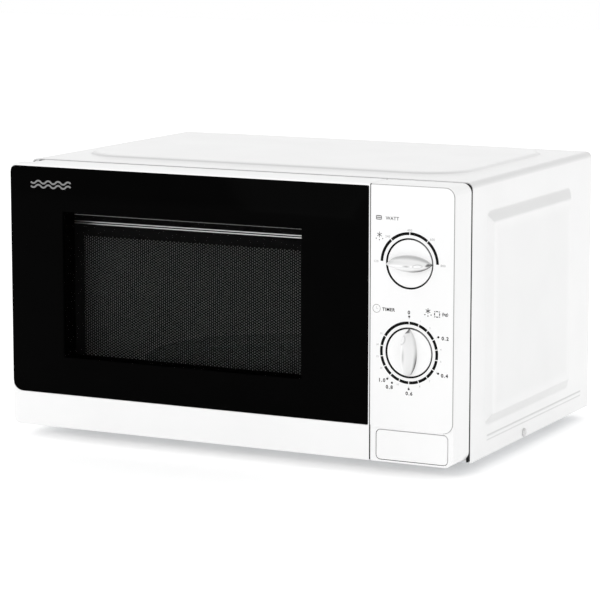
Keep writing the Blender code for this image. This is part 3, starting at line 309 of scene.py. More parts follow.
def screenFinish(name, dark, light):
    paint = Finish(name, IOR=1.12)
    dust = paint.noise(240.0, 4.0)
    return paint.wear(paint.tint(dust, shade(dark), shade(light)), 0.5 + 0.2 * dust, dust, 0.00003)


def printFinish(name, dark, light):
    ink = Finish(name, IOR=1.15)
    dots = ink.noise(2600.0, 2.0)
    return ink.wear(ink.tint(dots, shade(dark), shade(light)), 0.4 + 0.2 * dots)


def floorFinish():
    paper = Finish("studioPaper", Emission_Color=(1, 1, 1, 1), Emission_Strength=0.25)
    fibre = paper.noise(300.0, 4.0)
    return paper.wear(paper.tint(fibre, shade(0.93), shade(0.95)), 0.8 + 0.1 * fibre)


finishes = {
    "white_enamel": enamelFinish("whiteEnamel", 0.8, 0.78, 0.00003, shadeLevel=0.5),
    "cavity_enamel": enamelFinish("cavityEnamel", 0.72, 0.66, 0.00005, 0.5),
    "white_plastic": mouldedFinish("whitePlastic", shade(0.82), shade(0.8), 0.24, 0.000008, 0.2),
    "grey_plastic": mouldedFinish("greyPlastic", shade(0.42), shade(0.36), 0.42, 0.00004),
    "dark_plastic": mouldedFinish("darkPlastic", shade(0.002), shade(0.005), 0.45, 0.00004, density=1.2),
    "black_glass": doorGlassFinish("printedGlass", IOR=1.068),
    "clear_glass": clearGlassFinish(),
    "screen_steel": screenFinish("screenPaint", 0.006, 0.011),
    "galvanised": galvanisedFinish(),
    "bright_steel": steelFinish("brightSteel", 0.72, 0.5, 0.2),
    "iron": ironFinish(),
    "copper": copperFinish(),
    "aluminium": steelFinish("aluminium", 0.8, 0.66, 0.28),
    "rubber": rubberFinish(),
    "mica": micaFinish(),
    "board": boardFinish(),
}
windowGlass = doorGlassFinish("windowGlass", IOR=1.08, Alpha=0.1)
# the knob's white is a touch lighter than the panel's, painted light that lifts the flanks
knobPlastic = mouldedFinish("knobPlastic", shade(0.85), shade(0.83), 0.2, 0.000006, 0.4, flank=0.05)
# painted shade on the pad's right and top rim
padRimShade = mouldedFinish("padRimShade", shade(0.3), shade(0.36), 0.4, 0.000008)
blackInk = printFinish("blackInk", 0.0015, 0.004)
greyInk = printFinish("greyInk", 0.09, 0.14)
paleInk = printFinish("paleInk", 0.4, 0.5)
rimPaint = screenFinish("rimPaint", 0.0012, 0.003)
tunnelBlack = mouldedFinish("tunnelBlack", shade(0.0003), shade(0.0008), 0.6, 0.00004, density=1.03)
markInk = printFinish("markInk", 0.2, 0.24)

print("finishes on the carried-over nodes")
for subpart in frame["record"]["subparts"]:
    mesh = nodes[subpart["node"]].data
    mesh.materials.clear()
    mesh.materials.append(finishes[subpart["material_slot"]])


# a box from its edges, as a new mesh or added to one
def box(x, y, z, bm=None):
    bm = bm or bmesh.new()
    spans = (x, y, z)
    size = Matrix.Diagonal([span[1] - span[0] for span in spans] + [1])
    middle = Matrix.Translation([sum(span) / 2 for span in spans])
    return bm, bmesh.ops.create_cube(bm, size=1, matrix=middle @ size)["verts"]


def bevel(bm, edges, offset, segments=3):
    bmesh.ops.bevel(bm, geom=list(edges), offset=offset, offset_type="OFFSET", affect="EDGES",
                    segments=segments, profile=0.5, material=-1, clamp_overlap=True)


# a slab that lies along x and z, with its own radius at each corner and a softened front rim
def slab(x, z, y, corners, rim=0.0, segments=6, rimSegments=3):
    bm, verts = box(x, y, z)
    centre = (sum(x) / 2, sum(z) / 2)
    for corner, radius in zip(((-1, -1), (1, -1), (1, 1), (-1, 1)), corners):
        if radius:
            edges = [edge for edge in bm.edges
                     if all((v.co.x - centre[0]) * corner[0] > 0 and (v.co.z - centre[1]) * corner[1] > 0
                            for v in edge.verts)
                     and abs(edge.verts[0].co.y - edge.verts[1].co.y) > 1e-6]
            bevel(bm, edges[:1], radius, segments)
    if rim:
        bevel(bm, [edge for edge in bm.edges if all(abs(v.co.y - y[0]) < 1e-7 for v in edge.verts)],
              rim, rimSegments)
    return bm


# a cylinder along an axis, as a new mesh or added to one
def rod(axis, middle, span, radius, segments=48, bm=None):
    bm = bm or bmesh.new()
    turn = {"y": Matrix.Rotation(math.radians(-90), 4, "X"), "x": Matrix.Rotation(math.radians(90), 4, "Y"),
            "z": Matrix.Identity(4)}[axis]
    level = sum(span) / 2
    place = {"x": (level, *middle), "y": (middle[0], level, middle[1]), "z": (*middle, level)}[axis]
    bmesh.ops.create_cone(bm, cap_ends=True, segments=segments, radius1=radius, radius2=radius,
                          depth=span[1] - span[0], matrix=Matrix.Translation(place) @ turn)
    return bm


upright = Matrix.Rotation(math.radians(90), 4, "X")  # from lying flat to facing forward


# everything in a mesh, for the operators that ask for it
def whole(bm):
    return bm.verts[:] + bm.edges[:] + bm.faces[:]


def asObject(name, bm):
    mesh = bpy.data.meshes.new(name)
    bm.to_mesh(mesh)
    bm.free()
    made = bpy.data.objects.new(name, mesh)
    bpy.context.scene.collection.objects.link(made)
    return made


# cuts shapes out of a mesh, or joins them to it
def carve(bm, *shapes, operation="DIFFERENCE"):
    target = asObject("carved", bm)
    tools = [asObject("tool", shape) for shape in shapes]
    for tool in tools:
        step = target.modifiers.new("carve", "BOOLEAN")
        step.operation = operation
        step.solver = "EXACT"
        step.object = tool
    evaluated = target.evaluated_get(bpy.context.evaluated_depsgraph_get())
    result = bmesh.new()
    result.from_mesh(evaluated.to_mesh())
    evaluated.to_mesh_clear()
    for used in [target, *tools]:
        bpy.data.objects.remove(used)
    bmesh.ops.remove_doubles(result, verts=result.verts, dist=1e-6)
    return result


def merge(target, source):
    mesh = bpy.data.meshes.new("merged")
    source.to_mesh(mesh)
    source.free()
    target.from_mesh(mesh)
    bpy.data.meshes.remove(mesh)
    return target


# a finished piece: shaded, given its finishes, riding on its body
def piece(name, bm, body, slot, *materials, sharp=35, replaces=(), pick=None):
    made = asObject(name, bm)
    mesh = made.data
    for material in materials or (finishes[slot],):
        mesh.materials.append(material)
    if pick:
        for polygon in mesh.polygons:
            polygon.material_index = pick(polygon)
    mesh.shade_smooth()
    mesh.set_sharp_from_angle(angle=math.radians(sharp))
    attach(made, body)
    if replaces:
        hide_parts(*replaces)
    return made


def smooth(value):
    value = min(max(value, 0.0), 1.0)
    return value * value * (3 - 2 * value)


# how far a point is inside a box with rounded corners
def depthInside(a, b, low, high, radius):
    da = abs(a - (low[0] + high[0]) / 2) - (high[0] - low[0]) / 2 + radius
    db = abs(b - (low[1] + high[1]) / 2) - (high[1] - low[1]) / 2 + radius
    return radius - min(max(da, db), 0.0) - math.hypot(max(da, 0.0), max(db, 0.0))


# a straight ramp from 0 to 1 with short rounded ends
def ramp(value, ease=0.18):
    value = min(max(value, 0.0), 1.0)
    if value < ease:
        rise = value * value / (2 * ease)
    elif value > 1 - ease:
        rise = 1 - ease - (1 - value) ** 2 / (2 * ease)
    else:
        rise = value - ease / 2
    return rise / (1 - ease)


# 1 halfway up a ramp and 0 at its foot and head
def slope(value):
    value = min(max(value, 0.0), 1.0)
    return 4 * value * (1 - value)


def steps(low, high, gap):
    count = max(1, round((high - low) / gap))
    return [low + (high - low) * n / count for n in range(count + 1)]


# steps that are close together in the given spans and further apart between them
def graded(low, high, spans, fine, coarse):
    places = [low]
    for first, last in spans:
        places += steps(places[-1], first, coarse)[1:] + steps(first, last, fine)[1:]
    return places + steps(places[-1], high, coarse)[1:]


print("outer cabinet")
caseSet = {
    "bend": 6 * mm, "sheet": 1.2 * mm, "sideRise": 4 * mm, "topRise": 2.8 * mm,
    # pressed fields: how far in from each edge, their ramps and their corners
    "sideField": {"front": 30 * mm, "back": 52 * mm, "foot": 26.5 * mm, "head": 27.7 * mm},
    "topField": {"left": 22 * mm, "right": 30 * mm, "front": 36 * mm, "back": 18 * mm},
    "sideRamp": 11 * mm, "sideCorner": 10 * mm, "topRamp": 4.5 * mm, "topCorner": 46 * mm,
    # two beads along the foot of the side
    "beads": (13.9 * mm, 17.9 * mm), "beadDepth": 0.5 * mm, "beadWidth": 4 * mm,
    "beadEnds": (35 * mm, 18 * mm),
    # distances between the rows of the sheet's mesh, and where they are close
    "fine": 1.3 * mm, "coarse": 6 * mm, "reach": 4 * mm, "bendRow": 1.1 * mm, "edge": 1 * mm, "hem": 5 * mm,
    "beadBand": (10 * mm, 22 * mm), "beadRow": 0.6 * mm,
    # painted shade on the bends, the top and side ramps, the side field and the bead edges
    "bendShade": 0.55, "topShade": 0.85, "topFade": 0.65, "topEdge": 1.3, "sideShade": 0.4, "fieldShade": 0.12,
    "beadShade": 1.0, "beadEdge": 1 * mm,
    # air slots in the left wall
    "slot": (3.5 * mm, 30 * mm), "slotStep": 9 * mm, "slotRow": 38 * mm, "slotsFrom": (60 * mm, 80 * mm),
    "slotRows": 2, "slotColumns": 7,
}


# the cabinet's one sheet, from the left foot over the top to the right foot
class CaseSheet:
    def __init__(self):
        self.left, self.low, self.front, self.back = cabinetAt.x0, cabinetAt.z0, cabinetAt.y0, cabinetAt.y1
        self.right = cabinetAt.x1 - caseSet["sideRise"]
        self.top = cabinetAt.z1 - caseSet["topRise"]
        self.radius = caseSet["bend"]
        wall = self.top - self.radius - self.low
        arc = self.radius * math.pi / 2
        flat = self.right - self.left - 2 * self.radius
        # how far along the sheet each wall, bend and top ends
        self.marks = [0, wall, wall + arc, wall + arc + flat, wall + 2 * arc + flat,
                      2 * wall + 2 * arc + flat]
        side, crown = caseSet["sideField"], caseSet["topField"]
        self.sideLow = (self.front + side["front"], self.low + side["foot"])
        self.sideHigh = (self.back - side["back"], self.top - side["head"])
        self.topLow = (self.left + crown["left"], self.front + crown["front"])
        self.topHigh = (self.right - crown["right"], self.back - crown["back"])

    # rows of the mesh along the sheet, close together in ramps, bends and beads
    def along(self):
        marks, radius = self.marks, self.radius
        side, crown = caseSet["sideField"], caseSet["topField"]
        fine, coarse, reach, bendRow = (caseSet[name] for name in ("fine", "coarse", "reach", "bendRow"))
        corner = caseSet["topCorner"] + reach
        ramps = caseSet["sideRamp"] + caseSet["sideCorner"] + reach
        beadEnd, beadStart = (marks[5] - height for height in caseSet["beadBand"])
        topLeft = marks[2] + crown["left"] - radius
        topRight = marks[3] - crown["right"] + radius
        head = marks[4] + side["head"] - radius
        foot = marks[5] - side["foot"]
        topSpans = ((topLeft - reach, topLeft + corner), (topRight - corner, topRight + reach))
        sideSpans = ((head - reach, head + ramps), (foot - ramps, foot + reach / 2))
        rows = steps(0, marks[1], coarse)[:-1] + steps(marks[1], marks[2], bendRow)[:-1]
        rows += graded(marks[2], marks[3], topSpans, fine, coarse)[:-1]
        rows += steps(marks[3], marks[4], bendRow)[:-1]
        rows += graded(marks[4], beadStart, sideSpans, fine, coarse)[:-1]
        return rows + steps(beadStart, beadEnd, caseSet["beadRow"]) + [marks[5] - caseSet["hem"], marks[5]]

    # rows of the mesh from front to back
    def across(self):
        edge, reach = caseSet["edge"], caseSet["reach"]
        corner = caseSet["topCorner"] + reach
        ramps = caseSet["sideRamp"] + caseSet["sideCorner"] + reach
        spans = ((self.sideLow[0] - reach, self.topLow[1] + corner),
                 (self.sideHigh[0] - ramps, self.topHigh[1] + reach))
        start, end = self.front + reach, self.back - reach
        middle = graded(start, end, spans, caseSet["fine"], caseSet["coarse"])
        return [self.front, self.front + edge, *middle, self.back - edge, self.back]

    # the place of a point on the pressed top, and the painted shade on its ramp, fading towards the back
    def topPoint(self, x, y):
        inside = depthInside(x, y, self.topLow, self.topHigh, caseSet["topCorner"])
        ahead = 1 - caseSet["topFade"] * smooth((y - self.topLow[1]) / caseSet["topCorner"])
        tone = caseSet["topShade"] * ahead * slope(inside / caseSet["topRamp"] * caseSet["topEdge"]) ** 2
        return (x, y, self.top + caseSet["topRise"] * smooth(inside / caseSet["topRamp"])), tone

    # the same on the pressed right side, with its beads: painted shade on the top and bottom ramps, a little
    # over the field and along the bead edges
    def sidePoint(self, y, z):
        width = caseSet["beadWidth"]
        inside = depthInside(y, z, self.sideLow, self.sideHigh, caseSet["sideCorner"])
        rise = caseSet["sideRise"] * ramp(inside / caseSet["sideRamp"])
        ends = smooth((y - self.front - caseSet["beadEnds"][0]) / width)
        ends *= smooth((self.back - caseSet["beadEnds"][1] - y) / width)
        over = math.sin(math.pi * min(max((z - self.low - caseSet["beads"][0]) / width, 0), 1))
        edges = [abs(z - self.low - bead) for bead in caseSet["beads"]]
        aboveOrBelow = min(z - self.sideLow[1], self.sideHigh[1] - z)
        foreOrAft = min(y - self.sideLow[0], self.sideHigh[0] - y)
        level = aboveOrBelow < foreOrAft + caseSet["edge"]
        tone = max(caseSet["sideShade"] * level * min(1, 2 * slope(inside / caseSet["sideRamp"])),
                   caseSet["fieldShade"] * smooth(inside / caseSet["sideRamp"] - 1),
                   caseSet["beadShade"] * ends * max(0, 1 - min(edges) / caseSet["beadEdge"]))
        return (self.right + rise + caseSet["beadDepth"] * over * ends, y, z), tone

    # painted shade along the bends between the top and the sides, darkest halfway round
    def bendPoint(self, x, y, way, angle):
        radius = self.radius
        place = (x - way * radius * math.cos(angle), y, self.top - radius * (1 - math.sin(angle)))
        return place, caseSet["bendShade"] * math.sin(2 * angle)

    def point(self, s, y):
        marks, radius = self.marks, self.radius
        if s < marks[1]:
            return (self.left, y, self.low + s), 0.0
        if s < marks[2]:
            return self.bendPoint(self.left + radius, y, 1, (s - marks[1]) / radius)
        if s < marks[3]:
            return self.topPoint(self.left + radius + s - marks[2], y)
        if s < marks[4]:
            return self.bendPoint(self.right - radius, y, -1, math.pi / 2 - (s - marks[3]) / radius)
        return self.sidePoint(y, self.low + marks[5] - s)


caseSheet = CaseSheet()


def airSlots():
    slots = bmesh.new()
    width, height = caseSet["slot"]
    for row in range(caseSet["slotRows"]):
        for column in range(caseSet["slotColumns"]):
            y = caseSheet.back - caseSet["slotsFrom"][0] - column * caseSet["slotStep"]
            z = caseSheet.top - caseSet["slotsFrom"][1] - row * caseSet["slotRow"]
            slot, verts = box((caseSheet.left - past, caseSheet.left + caseSet["sheet"] + past),
                              (y - width / 2, y + width / 2), (z - height / 2, z + height / 2))
            ends = [edge for edge in slot.edges if abs(edge.verts[0].co.x - edge.verts[1].co.x) > 1e-6]
            bevel(slot, ends, width * 0.49, 4)
            merge(slots, slot)
    return slots


def outerCabinet():
    along, across = caseSheet.along(), caseSheet.across()
    bm = bmesh.new()
    bmesh.ops.create_grid(bm, x_segments=len(along) - 1, y_segments=len(across) - 1, size=0.5)
    drawn = bm.verts.layers.float.new("drawn")
    for v in bm.verts:
        s = along[round((v.co.x + 0.5) * (len(along) - 1))]
        y = across[round((v.co.y + 0.5) * (len(across) - 1))]
        v.co, v[drawn] = caseSheet.point(s, y)
    bmesh.ops.recalc_face_normals(bm, faces=bm.faces)
    if sum(face.normal.z for face in bm.faces) < 0:
        bmesh.ops.reverse_faces(bm, faces=bm.faces)
    bmesh.ops.solidify(bm, geom=bm.faces, thickness=caseSet["sheet"])
    piece("cabinetShell", carve(bm, airSlots()), "root", "white_enamel", sharp=40, replaces=["outer_cabinet"])


outerCabinet()

print("gap shade strips")
gapStripSet = {
    "gap": 2.8 * mm, "thick": 2.95 * mm, "inset": 0.3 * mm, "width": 2.2 * mm, "foot": 1.6 * mm,
    "topInset": 0.9 * mm, "footCorner": 1 * mm, "corner": 5.5 * mm, "innerCorner": 3.5 * mm,
    "slack": 0.05 * mm, "swing": 10 * mm,
}


# what the door's hinge edge sheds so that it can turn: a corner less its round
def swingCorner(at, back):
    radius = gapStripSet["swing"]
    height = (at.z0 - past, at.z1 + past)
    turned = rod("z", (at.x0 + radius, back - radius), height, radius, 64)
    corner, verts = box((at.x0 - past, at.x0 + radius), (back - radius, back + past),
                        (at.z0 - mm, at.z1 + mm))
    return carve(corner, turned)


# thin black strips in the gaps behind the door's top edge and round the control panel: a dark thing put in
# the gaps as painted shade
def gapShadeStrips():
    inset, width, slack = gapStripSet["inset"], gapStripSet["width"], gapStripSet["slack"]
    right = caseSheet.right - inset
    z = (cabinetAt.z0 + gapStripSet["foot"], caseSheet.top - gapStripSet["topInset"])
    under = caseSheet.top - inset - width
    seal, verts = box((doorAt.x0 + gapStripSet["swing"], doorAt.x1 - inset),
                      (doorAt.y1 - gapStripSet["gap"] - slack, doorAt.y1 - slack), (under, z[1]))
    piece("doorGapShade", seal, "door", "dark_plastic")
    y = (cabinetAt.y0 - slack - gapStripSet["thick"], cabinetAt.y0 - slack)
    outer = slab((panelAt.x0 + inset, right), z, y, (0, gapStripSet["footCorner"], gapStripSet["corner"], 0))
    inner = slab((panelAt.x0 - past, right - width), (cabinetAt.z0 - past, under), (y[0] - past, y[1] + past),
                 (0, 0, gapStripSet["innerCorner"], 0))
    piece("panelGapShade", carve(outer, inner), "root", "dark_plastic")


gapShadeStrips()

print("door moulding")
glassSet = {"corners": (10 * mm, 1 * mm, 1 * mm, 6 * mm), "rim": 0.35 * mm}
doorSet = {
    "corners": (7 * mm, 1 * mm, 1 * mm, 6 * mm), "rim": 1.2 * mm, "glass": 3.3 * mm, "fit": 0.3 * mm,
    # window: its distances from the door's left, right, foot and head
    "window": (54.75 * mm, 65.2 * mm, 65.5 * mm, 42 * mm), "windowCorner": 4 * mm,
    "tunnelWall": 2.5 * mm, "tunnelCorner": 3 * mm, "screenAt": 21 * mm, "skin": 2.5 * mm,
    # hinge: its place behind the front's left edge, and the notches round its arms
    "hinge": (10.25 * mm, 23 * mm), "pin": 2.8 * mm, "pinHoles": (16 * mm, 19 * mm),
    "notch": (6.5 * mm, 8.2 * mm), "notchFoot": 3.8 * mm, "notchHead": 7.1 * mm,
    "post": {"side": 1.5 * mm, "front": 4 * mm, "low": 5.3 * mm, "high": 0.3 * mm},
}
window = (doorAt.x0 + doorSet["window"][0], doorAt.x1 - doorSet["window"][1],
          doorAt.z0 + doorSet["window"][2], doorAt.z1 - doorSet["window"][3])


def doorMoulding():
    at = doorAt
    frontFace = glassAt.y0
    back = at.y1 - gapStripSet["gap"]
    bm = slab((at.x0, at.x1), (at.z0, at.z1), (frontFace, back), doorSet["corners"], doorSet["rim"])
    fit = doorSet["fit"]
    glassBed = slab((glassAt.x0 - fit, glassAt.x1 + fit), (glassAt.z0 - fit, glassAt.z1 + fit),
                    (frontFace - 1 * mm, frontFace + doorSet["glass"]),
                    [radius + fit for radius in glassSet["corners"]], segments=8)
    cover = Place("choke_cover")
    glassBack = frontFace + doorSet["glass"]
    screenAt = frontFace + doorSet["screenAt"]
    pocket, verts = box((cover.x0 - fit, cover.x1 + fit), (glassBack + doorSet["skin"], back + mm),
                        (cover.z0 - fit, cover.z1 + fit))
    bm = carve(bm, glassBed, pocket)
    grow = doorSet["tunnelWall"]
    tunnel = slab((window[0] - grow, window[1] + grow), (window[2] - grow, window[3] + grow),
                  (glassBack + mm, screenAt - fit), (doorSet["tunnelCorner"],) * 4)
    opening = slab((window[0], window[1]), (window[2], window[3]), (frontFace + mm, screenAt + mm),
                   (doorSet["windowCorner"],) * 4)
    bm = carve(carve(bm, tunnel, operation="UNION"), opening)
    hingeX = at.x0 + doorSet["hinge"][0]
    hingeY = frontFace + doorSet["hinge"][1]
    lower, upper = Place("hinge_bracket_lower"), Place("hinge_bracket_upper")
    notches = bmesh.new()
    besides, ahead = doorSet["notch"]
    for span in ((at.z0 - past, at.z0 + doorSet["notchFoot"]), (at.z1 - doorSet["notchHead"], at.z1 + past)):
        box((at.x0 - past, hingeX + besides), (hingeY - ahead, back + past), span, notches)
    above, below = doorSet["pinHoles"]
    pins = rod("z", (hingeX, hingeY), (lower.z0 - mm, at.z0 + above), doorSet["pin"], 24)
    rod("z", (hingeX, hingeY), (at.z1 - below, upper.z1 + mm), doorSet["pin"], 24, bm=pins)
    bm = carve(bm, swingCorner(at, back), notches, pins)
    hook = Place("door_hook_plate")
    spring = Place("hook_spring")
    stand = doorSet["post"]
    post, verts = box((hook.x0 - stand["side"], hook.x1 + stand["side"]),
                      (frontFace + stand["front"], hook.y1),
                      (spring.z0 - stand["low"], spring.z0 - stand["high"]))

    def inTunnel(polygon):
        middle = polygon.center
        inside = (window[0] - 0.2 * mm < middle.x < window[1] + 0.2 * mm
                  and window[2] - 0.2 * mm < middle.z < window[3] + 0.2 * mm)
        bed = middle.y < glassBack + 0.3 * mm
        # the door's free right edge is black too: painted shade for the gap beside the control panel
        edge = middle.x > at.x1 - 0.1 * mm
        return int(edge or middle.y > frontFace + 2 * mm and (inside or bed))

    piece("doorMoulding", bm, "door", "white_plastic", finishes["white_plastic"], tunnelBlack,
          replaces=["door_frame"], pick=inTunnel)
    piece("springPost", post, "door", "white_plastic")


doorMoulding()

print("door glass")


def doorGlass():
    at = glassAt
    bm = slab((at.x0, at.x1), (at.z0, at.z1), (at.y0, at.y1), glassSet["corners"], glassSet["rim"], 8)
    for value, normal in zip(window, ((1, 0, 0), (1, 0, 0), (0, 0, 1), (0, 0, 1))):
        point = Vector(normal) * value
        bmesh.ops.bisect_plane(bm, geom=whole(bm), plane_co=point, plane_no=normal, dist=1e-6)

    def inWindow(polygon):
        middle = polygon.center
        return int(window[0] < middle.x < window[1] and window[2] < middle.z < window[3])

    piece("doorGlass", bm, "door", "black_glass", finishes["black_glass"], windowGlass, sharp=50,
          replaces=["door_glass"], pick=inWindow)


doorGlass()

print("door screen")
screenSet = {
    "pitch": 2.45 * mm, "hole": 0.82 * mm, "sheet": 0.5 * mm,
    "left": 10 * mm, "top": 23.5 * mm, "beyond": 3 * mm, "margin": 6 * mm,
}


def doorScreen():
    at = Place("door_screen")
    pitch = screenSet["pitch"]
    column = pitch * math.cos(math.radians(30))
    beyond = screenSet["beyond"]
    low = Vector((window[0] + screenSet["left"], at.y0, window[2] - beyond))
    high = Vector((window[1] + beyond, at.y1, window[3] - screenSet["top"]))
    bm = bmesh.new()
    for start in (Vector((0, 0, 0)), Vector((column, 0, pitch / 2))):
        place = Matrix.Translation(low + start) @ upright @ Matrix.Rotation(math.radians(30), 4, "Z")
        rims = []
        for radius in (pitch / math.sqrt(3), screenSet["hole"]):
            ring = bmesh.ops.create_circle(bm, segments=6, radius=radius, matrix=place)["verts"]
            rims += {edge for v in ring for edge in v.link_edges}
        bmesh.ops.bridge_loops(bm, edges=rims)
    for step, span in ((Vector((2 * column, 0, 0)), high.x - low.x), (Vector((0, 0, pitch)), high.z - low.z)):
        reach = 1
        while reach * max(step) < span:
            copy = bmesh.ops.duplicate(bm, geom=whole(bm))["geom"]
            verts = [v for v in copy if isinstance(v, bmesh.types.BMVert)]
            bmesh.ops.translate(bm, verts=verts, vec=step * reach)
            reach *= 2
        axis = step.normalized()
        for point, side in ((low, -1), (high, 1)):
            bmesh.ops.bisect_plane(bm, geom=whole(bm), plane_co=point, plane_no=axis * side,
                                   clear_outer=True, dist=1e-7)
    bmesh.ops.remove_doubles(bm, verts=bm.verts, dist=0.02 * mm)
    bmesh.ops.recalc_face_normals(bm, faces=bm.faces)
    if bm.faces[:][0].normal.y > 0:
        bmesh.ops.reverse_faces(bm, faces=bm.faces)
    bmesh.ops.solidify(bm, geom=bm.faces, thickness=screenSet["sheet"])
    margin = screenSet["margin"]
    rim = bmesh.new()
    y = (at.y0, at.y0 + screenSet["sheet"])
    box((window[0] - margin, low.x), y, (window[2] - margin, window[3] + margin), rim)
    box((low.x, window[1] + margin), y, (high.z, window[3] + margin), rim)
    box((low.x, window[1] + margin), y, (window[2] - margin, low.z), rim)
    box((high.x, window[1] + margin), y, (low.z, high.z), rim)

    def onRim(polygon):
        middle = polygon.center
        return int(not (low.x < middle.x < high.x and low.z < middle.z < high.z))

    piece("doorScreen", merge(bm, rim), "door", "screen_steel", finishes["screen_steel"], rimPaint,
          sharp=20, replaces=["door_screen"], pick=onRim)


doorScreen()

print("ridge highlights")
# bright strips across the window: painted highlights for those that a ridge along the screen's top margin
# catches
ridgeHighlightSet = {
    # height above the window's foot, thickness, gap in front of the screen, slot
    "lines": ((123.15 * mm, 0.85 * mm, 0.6 * mm, "aluminium"), (121.2 * mm, 0.85 * mm, 0.6 * mm, "aluminium"),
              (129.0 * mm, 0.4 * mm, 0.6 * mm, "grey_plastic")),
}


def ridgeHighlight():
    at = Place("door_screen")
    for number, (height, thick, gap, slot) in enumerate(ridgeHighlightSet["lines"], 1):
        z = window[2] + height
        bm, verts = box((window[0] + 0.5 * mm, window[1] - 0.5 * mm), (at.y0 - gap - 0.4 * mm, at.y0 - gap),
                        (z - thick / 2, z + thick / 2))
        bevel(bm, bm.edges, 0.1 * mm, 2)
        piece(f"ridgeHighlight{number}", bm, "door", slot)


ridgeHighlight()

print("control panel")
panelSet = {
    "corners": (2 * mm, 9 * mm, 8 * mm, 1 * mm), "rim": 1.4 * mm, "wall": 2.5 * mm, "padFoot": 29.7 * mm,
    "padCorners": (3 * mm, 9 * mm, 8.5 * mm, 1 * mm), "padRise": 0.7 * mm, "padRim": 0.5 * mm,
    "well": 22 * mm, "wellDepth": 3.8 * mm, "wellWall": 2 * mm, "bore": 4.2 * mm, "buttonFit": 0.4 * mm,
}


def controlPanel():
    at = panelAt
    frontFace = glassAt.y0
    back = at.y1 - gapStripSet["gap"]
    bm = slab((at.x0, at.x1), (at.z0, at.z1), (frontFace, back), panelSet["corners"], panelSet["rim"], 8)
    wall = panelSet["wall"]
    hollow = slab((at.x0 + wall, at.x1 - wall), (at.z0 + wall, at.z1 - wall), (frontFace + wall, at.y1 + mm),
                  (1 * mm, 7 * mm, 6 * mm, 1 * mm))
    bm = carve(bm, hollow)
    pad = slab((at.x0 + 0.1 * mm, at.x1 - 0.5 * mm), (at.z0 + panelSet["padFoot"], at.z1 - 0.5 * mm),
               (frontFace - panelSet["padRise"], frontFace + mm), panelSet["padCorners"],
               panelSet["padRim"], 8, 3)
    floor = frontFace + panelSet["wellDepth"]
    bosses = bmesh.new()
    wells = bmesh.new()
    bores = bmesh.new()
    for knob in (powerAt, timerAt):
        middle = (knob.x, knob.z)
        boss = panelSet["well"] + panelSet["wellWall"]
        rod("y", middle, (frontFace + mm, floor + 1.4 * mm), boss, 96, bm=bosses)
        rod("y", middle, (frontFace - 2 * mm, floor), panelSet["well"], 96, bm=wells)
        rod("y", middle, (frontFace, floor + 3 * mm), panelSet["bore"], 32, bm=bores)
    fit = panelSet["buttonFit"]
    gap = slab((buttonAt.x0 - fit, buttonAt.x1 + fit), (buttonAt.z0 - fit, buttonAt.z1 + fit),
               (frontFace - mm, frontFace + 5 * mm), (4.4 * mm,) * 4)
    bm = carve(carve(bm, pad, bosses, operation="UNION"), wells, gap, bores)

    # painted shade: dark plastic in the knob wells and the button gap, grey on the pad's right and top rim
    def inRecess(polygon):
        middle = polygon.center
        inWell = any(math.hypot(middle.x - knob.x, middle.z - knob.z) < panelSet["well"] + 0.1 * mm
                     for knob in (powerAt, timerAt))
        inGap = (abs(middle.x - buttonAt.x) < (buttonAt.x1 - buttonAt.x0) / 2 + fit + 0.1 * mm
                 and abs(middle.z - buttonAt.z) < (buttonAt.z1 - buttonAt.z0) / 2 + fit + 0.1 * mm)
        onRim = (frontFace - panelSet["padRise"] + 0.02 * mm < middle.y < frontFace + 0.05 * mm
                 and (middle.x > at.x1 - 9 * mm or middle.z > at.z1 - 2 * mm) and not inWell and not inGap)
        return 2 if onRim else int((inWell or inGap) and middle.y > frontFace + 0.3 * mm)

    piece("controlPanel", bm, "root", "white_plastic", finishes["white_plastic"], finishes["dark_plastic"],
          padRimShade, sharp=25, replaces=["control_panel"], pick=inRecess)


controlPanel()

print("door button")
buttonSet = {
    "corner": 4 * mm, "rim": 0.9 * mm, "skirt": 14 * mm, "wall": 2 * mm,
    "plunger": (9.5 * mm, 5.2 * mm), "plungerWidth": 8 * mm, "plungerRound": 0.5 * mm,
}


def releaseButton():
    at = buttonAt
    bm = slab((at.x0, at.x1), (at.z0, at.z1), (at.y0, at.y0 + buttonSet["skirt"]), (buttonSet["corner"],) * 4,
              buttonSet["rim"], 8, 4)
    wall = buttonSet["wall"]
    hollow, verts = box((at.x0 + wall, at.x1 - wall), (at.y0 + wall, at.y0 + buttonSet["skirt"] + past),
                        (at.z0 + wall, at.z1 - wall))
    width = buttonSet["plungerWidth"]
    x, z = panelAt.x0 + buttonSet["plunger"][0], at.z0 + buttonSet["plunger"][1]
    plunger, verts = box((x, x + width), (at.y0 + mm, at.y1), (z, z + width))
    bevel(plunger, plunger.edges, buttonSet["plungerRound"], 2)
    bm = carve(carve(bm, hollow), plunger, operation="UNION")
    piece("doorButton", bm, "button", "white_plastic", sharp=25, replaces=["release_button"])


releaseButton()

print("dials")


# 1 at the middle, falling smoothly to 0 over the width
def bump(value, middle, width):
    return 1 - smooth(abs(value - middle) / width)


dialSet = {
    "radius": 20.5 * mm, "edge": 0.5 * mm, "gap": 0.4 * mm, "thick": 3.6 * mm, "bladeHalf": 6.9 * mm,
    "reach": 0.99, "grid": (96, 72), "notch": (0.66, 0.17, 0.26, 0.7 * mm), "nose": 0.88,
    "foot": 0.88, "flare": 0.9 * mm, "crest": 0.12,
}


